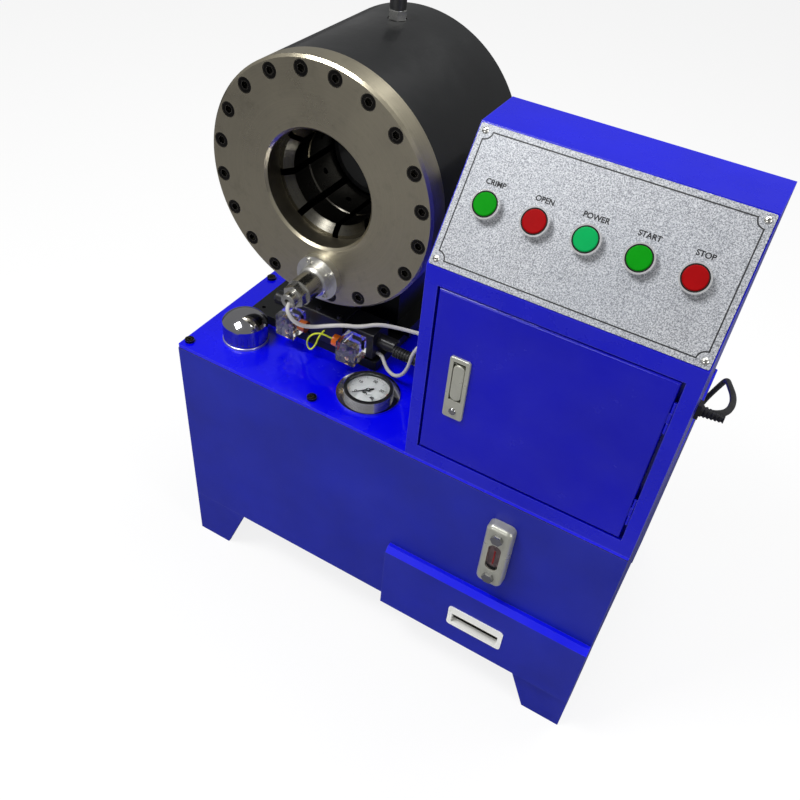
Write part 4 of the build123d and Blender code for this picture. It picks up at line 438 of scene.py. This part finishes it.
# The lid has the tank's paint; its much brighter blue is painted top light on its upward face.
add(painted, "lid_blue", (0.0, 0.0, 0.66), rough=0.24, coat=0.4, vary=0.08, peel=0.1, edge=0.2, grime=0.05)
add(painted, "cabinet_blue", (0.0, 0.001, 0.40), rough=0.26, coat=0.25, vary=0.1, peel=0.08, edge=0.25,
    grime=0.03)
add(painted, "door_blue", (0.0, 0.0, 0.34), rough=0.2, coat=0.35, vary=0.1, peel=0.1, edge=0.25, grime=0.02)
add(painted, "head_black", (0.005, 0.0055, 0.006), rough=0.34, coat=0.2, vary=0.3, peel=0.14, edge=0.1,
    grime=0.3)
add(painted, "valve_black", (0.010, 0.010, 0.012), rough=0.4, coat=0.2, vary=0.2, peel=0.1, edge=0.2)
add(painted, "motor", (0.014, 0.014, 0.016), rough=0.5, coat=0.1, vary=0.2, peel=0.2, edge=0.25, grime=0.1)
add(turned, "flange_nickel", (0.50, 0.455, 0.34), head_middle, rough=0.3, vary=0.12, rings=2400.0,
    edge=0.9, dirt=0.16)
add(turned, "die_dark", (0.10, 0.095, 0.08), head_middle, rough=0.22, vary=0.3, rings=2600.0,
    edge=1.0, dirt=0.4)
add(turned, "piston_dark", (0.10, 0.095, 0.09), head_middle, rough=0.3, vary=0.2, rings=1800.0,
    edge=0.6, dirt=0.3)
add(turned, "knob_steel", (0.62, 0.61, 0.58), scale_middle, rough=0.2, vary=0.3, rings=900.0,
    edge=0.6, dirt=0.35)
add(steel, "bolt_black", (0.030, 0.028, 0.026), rough=0.26, edge=1.0, dirt=0.2, rim=(0.5, 0.47, 0.4))
add(steel, "chrome", (0.46, 0.46, 0.48), rough=0.06, vary=0.03, edge=0.0, bump=0.02, dirt=0.06)
add(steel, "chrome_soft", (0.80, 0.79, 0.74), rough=0.3, vary=0.06, edge=0.3, bump=0.04, dirt=0.15)
add(steel, "nickel", (0.46, 0.46, 0.40), rough=0.3, vary=0.06, edge=0.5, bump=0.04, dirt=0.12, metal=0.55)
add(steel, "zinc", (0.55, 0.54, 0.5), rough=0.32, vary=0.2, edge=0.4, bump=0.08, dirt=0.1)
add(steel, "brass", (0.72, 0.50, 0.22), rough=0.25, vary=0.1, edge=0.3, bump=0.04)
add(station_chrome, "ring_chrome")
add(gauge_flange, "gauge_chrome")
add(cast_pull, "pull_silver")
add(panel_plate, "plate")
add(clear_plug, "plug_clear")
add(two_band, "rotor", 641, (0.5, 0.5, 0.5), (0.03, 0.03, 0.032), 0.25, 0.5)
add(two_band, "port", 809.5, (0.6, 0.6, 0.58), (0.014, 0.014, 0.015), 0.25, 0.42)
add(clear, "glass", (0.97, 0.98, 0.98), 0.02)
add(clear, "window", (0.62, 0.5, 0.52), 0.08)
add(plastic, "dial_white", (0.82, 0.83, 0.82), rough=0.45, vary=0.02, grain=300.0, bump=0.02)
add(plastic, "strip_grey", (0.26, 0.22, 0.22), rough=0.3, vary=0.3, grain=90.0, bump=0.1, coat=0.3)
add(plastic, "rubber", (0.016, 0.016, 0.017), rough=0.6, vary=0.2, grain=500.0, bump=0.2)
add(plastic, "conduit", (0.014, 0.014, 0.015), rough=0.42, vary=0.2, grain=500.0, bump=0.12)
# The buttons' and the lamp's darker rims are painted dark reflections on their rounded edges.
add(plastic, "green", (0.0, 0.2, 0.002), rough=0.5, vary=0.08, grain=300.0, bump=0.03, shine=0.06, rim=0.12)
add(plastic, "red", (0.24, 0.0, 0.001), rough=0.5, vary=0.08, grain=300.0, bump=0.03, shine=0.06, rim=0.12)
add(plastic, "lamp", (0.0, 0.27, 0.065), rough=0.4, vary=0.06, grain=300.0, bump=0.03, shine=0.06, rim=0.12)
add(plastic, "ink", (0.012, 0.012, 0.014), rough=0.5, vary=0.1, grain=400.0, bump=0.02)
add(plastic, "ink_red", (0.55, 0.01, 0.01), rough=0.5, vary=0.1, grain=400.0, bump=0.02)
add(plastic, "cable_grey", (0.42, 0.41, 0.39), rough=0.45, vary=0.06, grain=400.0, bump=0.05)
add(plastic, "wire_green", (0.55, 0.62, 0.03), rough=0.4, vary=0.08, grain=400.0, bump=0.04)
add(plastic, "cord_black", (0.02, 0.02, 0.021), rough=0.42, vary=0.15, grain=400.0, bump=0.06)
add(plastic, "tie", (0.03, 0.03, 0.03), rough=0.3, vary=0.1, grain=400.0, bump=0.04, coat=0.2)

dressing = {
    "tank_blue": ["oil_tank", "tank_feet"],
    "lid_blue": ["tank_lid"],
    "drawer_blue": ["drawer"],
    "cabinet_blue": ["control_cabinet"],
    "door_blue": ["cabinet_door"],
    "head_black": ["head_cylinder", "head_base"],
    "valve_black": ["solenoid_valve", "gauge_pointer"],
    "motor": ["motor_body", "gear_pump"],
    "rotor": ["motor_rotor"],
    "flange_nickel": ["head_flange"],
    "die_dark": ["die_%d" % i for i in range(1, 9)],
    "piston_dark": ["piston"],
    "bolt_black": ["flange_bolts", "lid_screws"],
    "chrome": ["filler_cap", "level_gauge_bolts", "lock_button"],
    "chrome_soft": ["filler_neck", "scale_base"],
    "gauge_chrome": ["gauge_case"],
    "ring_chrome": ["button_bodies"],
    "nickel": ["level_gauge_frame", "door_lock", "lock_handle"],
    "pull_silver": ["drawer_pull"],
    "zinc": ["lock_tongue", "electrical_plate"],
    "knob_steel": ["scale_knob"],
    "port": ["test_port"],
    "plate": ["control_panel"],
    "plug_clear": ["solenoid_plugs"],
    "dial_white": ["gauge_dial"],
    "glass": ["gauge_glass"],
    "window": ["level_gauge_window"],
    "green": ["crimp_button", "start_button"],
    "red": ["open_button", "stop_button"],
    "lamp": ["power_lamp"],
    "rubber": ["lid_gasket", "piston_seals", "cable_glands"],
    "conduit": ["cable_conduit"],
    "cable_grey": ["sensor_cable", "solenoid_cable"],
    "wire_green": ["earth_wire"],
    "cord_black": ["power_cord", "cord_coil", "power_plug"],
}
for look, names in dressing.items():
    for name in names:
        materials = nodes[name].data.materials
        materials.clear()
        materials.append(looks[look])


# Cords: each a smooth curve along the points that its solid follows
def cord_curve(name, points, diameter, look):
    data = bpy.data.curves.new(name, "CURVE")
    data.dimensions = "3D"
    spline = data.splines.new("NURBS")
    spline.points.add(len(points) - 1)
    for point, place in zip(spline.points, points):
        point.co = (*place, 1.0)
    spline.order_u = 3
    spline.use_endpoint_u = True
    spline.resolution_u = 12
    data.bevel_depth = diameter / 2
    data.bevel_resolution = 5
    data.use_fill_caps = True
    data.materials.append(looks[look])
    piece = bpy.data.objects.new(name, data)
    scene.collection.objects.link(piece)
    return piece


sensor_route = [
    (173.0, 46.0, 530.0), (173.0, 14.0, 530.0), (180.0, 13.0, 512.0), (187.0, 24.0, 497.0),
    (196.0, 38.0, 490.0), (211.0, 47.0, 493.0), (230.0, 56.0, 497.0), (248.0, 66.0, 496.0),
    (267.0, 81.0, 500.0), (294.0, 98.0, 493.0), (322.0, 109.0, 488.0), (348.0, 115.0, 485.0),
    (364.0, 115.0, 485.0),
]
solenoid_route = [
    (245.0, 120.0, 417.0), (253.0, 120.0, 417.0), (262.0, 112.0, 412.0), (272.0, 106.5, 406.5),
    (285.0, 102.5, 407.0), (297.0, 100.0, 418.0), (305.0, 98.0, 437.0), (309.0, 97.0, 462.0),
    (320.0, 99.0, 482.0), (333.0, 101.0, 497.0), (348.0, 102.0, 505.0), (364.0, 102.0, 505.0),
]
earth_route = [
    (205.0, 89.5, 436.5), (190.0, 89.5, 436.5), (180.0, 86.0, 441.0), (170.0, 82.0, 440.0),
    (161.0, 80.0, 431.0), (157.5, 80.0, 417.0), (163.0, 80.5, 408.0), (170.0, 83.0, 418.0),
    (170.0, 92.0, 430.0), (170.0, 104.0, 430.0),
]
power_route = [
    (643.0, 98.0, 549.0), (662.0, 98.0, 549.0), (675.0, 116.0, 541.0), (681.0, 148.0, 524.0),
    (683.0, 192.0, 502.0), (680.0, 250.0, 471.0), (673.0, 305.0, 441.0), (667.0, 356.0, 413.0),
    (662.0, 408.0, 365.0), (646.0, 428.0, 300.0), (640.0, 434.0, 230.0), (636.0, 438.0, 155.0),
    (632.0, 442.0, 92.0), (629.0, 449.0, 48.0), (624.0, 463.0, 17.0), (617.0, 486.0, 5.0),
    (611.0, 506.0, 4.0),
]
plug_route = [(556.0, 550.0, 12.0), (538.0, 550.0, 12.0), (520.0, 550.0, 12.0)]

# The put-away cord: one wide turn, two narrow turns, then a wide one on top, and on to the plug
coil_wide = 50.5
coil_narrow = 41.5
coil_low = 4.2
coil_high = 12.0
coil_start = 20.0
coil_end = 4 * 360 + 78.0
coil_steps = 65


def coil_place(angle):
    """Where the coil's middle line is at an angle, counted on from its start."""
    turn = (angle - coil_start) / 360
    radius = coil_wide
    height = coil_low
    if turn >= 1.0:
        radius -= (coil_wide - coil_narrow) * min(1.0, (turn - 1.0) * 3)
    if turn >= 2.0:
        height += (coil_high - coil_low) * min(1.0, (turn - 2.0) * 3)
    if turn >= 3.0:
        radius += (coil_wide - coil_narrow) * min(1.0, (turn - 3.0) * 3)
    return coil_x + radius * cos(radians(angle)), coil_y + radius * sin(radians(angle)), height


coil_route = [
    coil_place(coil_start + (coil_end - coil_start) * i / coil_steps) for i in range(coil_steps + 1)
]
cords = {}
for name, route, diameter, look in (
    ("sensor_lead", sensor_route, 0.005, "cable_grey"),
    ("solenoid_lead", solenoid_route, 0.005, "cable_grey"),
    ("earth_lead", earth_route, 0.0024, "wire_green"),
    ("mains_lead", power_route + coil_route + plug_route, 0.008, "cord_black"),
):
    cords[name] = cord_curve(name, [M(*p) for p in route], diameter, look)
    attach(cords[name], "machine")
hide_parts("sensor_cable")
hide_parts("solenoid_cable")
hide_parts("earth_wire")
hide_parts("power_cord", "cord_coil")


# Makers of the small pieces
def mesh_piece(name, vertices, faces, look):
    """A mesh with a look, which is named or already made."""
    data = bpy.data.meshes.new(name)
    data.from_pydata([tuple(v) for v in vertices], [], faces)
    data.update()
    data.materials.append(looks[look] if isinstance(look, str) else look)
    piece = bpy.data.objects.new(name, data)
    scene.collection.objects.link(piece)
    return piece


def ring_piece(name, profile, place, axis, look, count):
    """A turned piece: profile is a list of (radius, distance along the axis), in metres."""
    turn = Vector(axis).to_track_quat("Z", "Y").to_matrix()
    vertices = []
    for radius, along in profile:
        for i in range(count):
            angle = radians(360 * i / count)
            point = Vector((radius * cos(angle), radius * sin(angle), along))
            vertices.append(Vector(place) + turn @ point)
    faces = []
    for k in range(len(profile) - 1):
        for i in range(count):
            j = (i + 1) % count
            faces.append((k * count + i, k * count + j, (k + 1) * count + j, (k + 1) * count + i))
    faces.append(tuple(reversed(range(count))))
    faces.append(tuple(range((len(profile) - 1) * count, len(profile) * count)))
    piece = mesh_piece(name, vertices, faces, look)
    mesh = bmesh.new()
    mesh.from_mesh(piece.data)
    bmesh.ops.recalc_face_normals(mesh, faces=mesh.faces)
    mesh.to_mesh(piece.data)
    mesh.free()
    piece.data.shade_smooth()
    piece.data.set_sharp_from_angle(angle=radians(38))
    return piece


def on_basis(basis, place):
    """A matrix whose axes are the basis and whose origin is the place."""
    matrix = Matrix(basis).transposed().to_4x4()
    matrix.translation = place
    return matrix


def lettering(name, text, place, size, look, basis, body):
    """Flat raised letters; basis holds the reading direction, the letters' up and the normal."""
    data = bpy.data.curves.new(name, "FONT")
    data.body = text
    data.size = size
    data.align_x = "CENTER"
    data.align_y = "CENTER"
    data.extrude = 0.00004
    data.offset = 0.028 * size
    data.materials.append(looks[look])
    piece = bpy.data.objects.new(name, data)
    piece.matrix_world = on_basis(basis, place)
    scene.collection.objects.link(piece)
    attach(piece, body)


def bars(name, boxes, look, body, matrix):
    """Thin printed bars: each is the centre, the two half sizes and the turn in degrees."""
    vertices = []
    faces = []
    for (u, v), (half_u, half_v), turn in boxes:
        base = len(vertices)
        for a, b in ((-1, -1), (1, -1), (1, 1), (-1, 1)):
            along = a * half_u
            across = b * half_v
            x = u + along * cos(radians(turn)) - across * sin(radians(turn))
            y = v + along * sin(radians(turn)) + across * cos(radians(turn))
            vertices.append(matrix @ Vector((x, y, 0)))
        faces.append((base, base + 1, base + 2, base + 3))
    piece = mesh_piece(name, vertices, faces, look)
    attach(piece, body)


def upright(name, x0, x1, z0, z1, y, look):
    """A flat strip that faces the operator, given in millimetres."""
    corners = [M(x, y, z) for x, z in ((x0, z0), (x1, z0), (x1, z1), (x0, z1))]
    return mesh_piece(name, corners, [(0, 1, 2, 3)], look)


# Control panel: corner screws, and plain words over the buttons
screw_head = [(0.0001, 0.0019), (0.0016, 0.0018), (0.0030, 0.0012), (0.0036, 0.0003), (0.0036, 0.0)]
screw_top = 0.00195
slot = (0.002, 0.0003)
for i, (a, b) in enumerate(((-1, -1), (1, -1), (1, 1), (-1, 1))):
    place = on_panel(a * border_half[0], slope_length / 2 + b * border_half[1])
    screw = ring_piece("panel_screw_%d" % i, screw_head, place, slope_out, "chrome_soft", 24)
    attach(screw, "machine")
    cross = on_basis(panel_basis, place + slope_out * screw_top)
    bars("panel_screw_cross_%d" % i, [((0, 0), slot, 35), ((0, 0), slot, 125)], "ink", "machine", cross)
for i, word in enumerate(("CRIMP", "OPEN", "POWER", "START", "STOP")):
    place = on_panel(station_shift + (i - 2) * station_pitch, station_rise + word_rise, 0.06)
    lettering("word_" + word.lower(), word, place, 0.0075, "ink", panel_basis, "machine")

# Pressure gauge: ticks, a red end of scale, numbers and a unit
dial = nodes["gauge_dial"]
dial_top = max((dial.matrix_world @ Vector(c)).z for c in dial.bound_box)
gauge_middle = M(gauge_x, gauge_y, 0)
dial_matrix = Matrix.Translation((gauge_middle.x, gauge_middle.y, dial_top + 0.00006))
dial_start = 225
dial_sweep = 270


def on_dial(radius, angle):
    return radius * cos(radians(angle)), radius * sin(radians(angle))


ticks = []
for i in range(41):
    angle = dial_start - dial_sweep * i / 40
    length, half_width = (0.0022, 0.00028) if i % 5 == 0 else (0.0012, 0.00014)
    ticks.append((on_dial(0.0250 - length, angle), (length, half_width), angle))
bars("gauge_ticks", ticks, "ink", "machine", dial_matrix)
arc = []
for i in range(12):
    angle = dial_start - dial_sweep + 5.0 * i
    arc.append((on_dial(0.0262, angle), (0.0006, 0.0013), angle))
bars("gauge_red_arc", arc, "ink_red", "machine", dial_matrix)
for i in range(5):
    x, y = on_dial(0.0175, dial_start - dial_sweep * i / 4)
    place = Vector((gauge_middle.x + x, gauge_middle.y + y, dial_top + 0.00008))
    text = str(10 * i)
    lettering("gauge_number_" + text, text, place, 0.0062, "ink", flat_basis, "machine")
place = Vector((gauge_middle.x, gauge_middle.y - 0.009, dial_top + 0.00008))
lettering("gauge_unit", "MPa", place, 0.0045, "ink", flat_basis, "machine")

# Level gauge: the strip behind the window, with its red line
strip = upright("level_strip", 497, 509, 283, 322, -6.0, "strip_grey")
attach(strip, "machine")
red_line = upright("level_red_line", 502, 504, 286, 312, -6.2, "ink_red")
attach(red_line, "machine")

# Solenoid plugs: brass terminals inside the clear boxes
bit = [(0.0001, 0.0), (0.0030, 0.0), (0.0030, 0.0012), (0.0017, 0.0013), (0.0017, 0.0080), (0.0001, 0.0080)]
plug_y = 84
plug_z = 430
for k, x in enumerate((125, 222)):
    for n, (dx, dz) in enumerate(((-6, 6), (6, 6), (0, -7))):
        place = M(x + dx, plug_y, plug_z + dz)
        terminal = ring_piece("plug_terminal_%d_%d" % (k, n), bit, place, (0, 1, 0), "brass", 20)
        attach(terminal, "machine")

# Scale knob: engraved lines round its sleeve, each fourth one longer
sleeve_radius = 0.01703
sleeve_back = 67.7
mark_half = 0.00022
marks = []
vertices = []
for i in range(48):
    angle = radians(360 * i / 48)
    reach = 9.0 if i % 4 == 0 else 5.0
    out = Vector((cos(angle), 0, sin(angle)))
    side = Vector((-sin(angle), 0, cos(angle)))
    middle = M(scale_at[0], 0, scale_at[2]) + out * sleeve_radius
    base = len(vertices)
    for a, y in ((-1, 0.5), (1, 0.5), (1, reach), (-1, reach)):
        point = middle + side * a * mark_half
        point.y = M(0, sleeve_back - y, 0).y
        vertices.append(point)
    marks.append((base, base + 1, base + 2, base + 3))
knob_marks = mesh_piece("scale_marks", vertices, marks, "ink")
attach(knob_marks, "scale_knob")

# Mains lead: a ribbed, tapered strain relief and two ties on the coil
relief = [(0.0041, -0.001), (0.0066, 0.0)]
for i in range(6):
    radius = 0.0066 - 0.00042 * i
    foot = 0.0040 * i
    relief += [(radius, foot + 0.0018), (radius - 0.0011, foot + 0.0022),
               (radius - 0.0011, foot + 0.0036), (radius - 0.0004, foot + 0.0040)]
relief += [(0.0042, 0.0252), (0.00405, 0.0252)]
boot = ring_piece("strain_relief", relief, M(654.5, 98, 549), (1, 0, 0), "rubber", 28)
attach(boot, "machine")
tie_outline = [
    (37.3, 1.0), (37.3, 15.0), (38.6, 16.4), (53.4, 16.4),
    (54.8, 15.0), (54.8, 1.0), (53.4, 0.6), (38.6, 0.6),
]
for i, angle in enumerate((150.0, 300.0)):
    loop = bpy.data.curves.new("cord_tie_%d" % i, "CURVE")
    loop.dimensions = "3D"
    spline = loop.splines.new("POLY")
    spline.points.add(len(tie_outline) - 1)
    for point, (radius, height) in zip(spline.points, tie_outline):
        place = M(coil_x + radius * cos(radians(angle)), coil_y + radius * sin(radians(angle)), height)
        point.co = (*place, 1.0)
    spline.use_cyclic_u = True
    loop.bevel_depth = 0.0011
    loop.bevel_resolution = 3
    loop.materials.append(looks["tie"])
    tie = bpy.data.objects.new("cord_tie_%d" % i, loop)
    scene.collection.objects.link(tie)
    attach(tie, "machine")


# Floor, backdrop and light
def white_look(name, color):
    """White to the camera, dim in reflections, plain and matt to everything else."""
    look = Look(name)
    path = look.node("ShaderNodeLightPath")
    base = look.mix(path.outputs["Is Glossy Ray"], color, (0.16, 0.16, 0.17))
    look.set(color=base, roughness=0.9, specular=0.1)
    glow = look.node("ShaderNodeEmission")
    glow.inputs["Color"].default_value = (1, 1, 1, 1)
    glow.inputs["Strength"].default_value = 1.0
    mixer = look.node("ShaderNodeMixShader")
    look.link(look.math("MULTIPLY", path.outputs["Is Camera Ray"], 0.84), mixer.inputs[0])
    look.link(look.bsdf.outputs[0], mixer.inputs[1])
    look.link(glow.outputs[0], mixer.inputs[2])
    look.link(mixer.outputs[0], look.tree.nodes["Material Output"].inputs[0])
    return look.material


floor_half = 8
floor = mesh_piece(
    "floor", [(a * floor_half, b * floor_half, 0) for a, b in ((-1, -1), (1, -1), (1, 1), (-1, 1))],
    [(0, 1, 2, 3)], white_look("floor_pale", (0.86, 0.86, 0.86)),
)

# The world is white to the camera and through glass, and dim to everything else
world = bpy.data.worlds.new("studio")
scene.world = world
world.use_nodes = True
tree = world.node_tree
back = tree.nodes["Background"]
back.inputs["Color"].default_value = (1, 1, 1, 1)
path = tree.nodes.new("ShaderNodeLightPath")
pick = tree.nodes.new("ShaderNodeMath")
pick.operation = "MAXIMUM"
tree.links.new(path.outputs["Is Camera Ray"], pick.inputs[0])
tree.links.new(path.outputs["Is Transmission Ray"], pick.inputs[1])
level = tree.nodes.new("ShaderNodeMapRange")
level.inputs["To Min"].default_value = 0.28
level.inputs["To Max"].default_value = 1.0
tree.links.new(pick.outputs[0], level.inputs["Value"])
tree.links.new(level.outputs[0], back.inputs["Strength"])


def area_light(name, place, target, size, power):
    data = bpy.data.lights.new(name, "AREA")
    data.shape = "RECTANGLE"
    data.size, data.size_y = size
    data.energy = power
    lamp = bpy.data.objects.new(name, data)
    lamp.location = place
    lamp.rotation_euler = (Vector(target) - Vector(place)).to_track_quat("-Z", "Y").to_euler()
    scene.collection.objects.link(lamp)


area_light("key", (-0.9, -1.0, 2.6), (0, 0, 0.5), (1.0, 0.8), 58)
area_light("top", (0.5, 0.7, 2.6), (0, 0, 0.6), (1.4, 1.0), 36)
area_light("side", (2.2, -0.6, 1.3), (0, 0, 0.5), (0.7, 1.2), 16)
area_light("fill", (-0.5, -2.6, 0.9), (0, 0, 0.4), (1.2, 0.8), 12)
scene.view_settings.view_transform = "Standard"
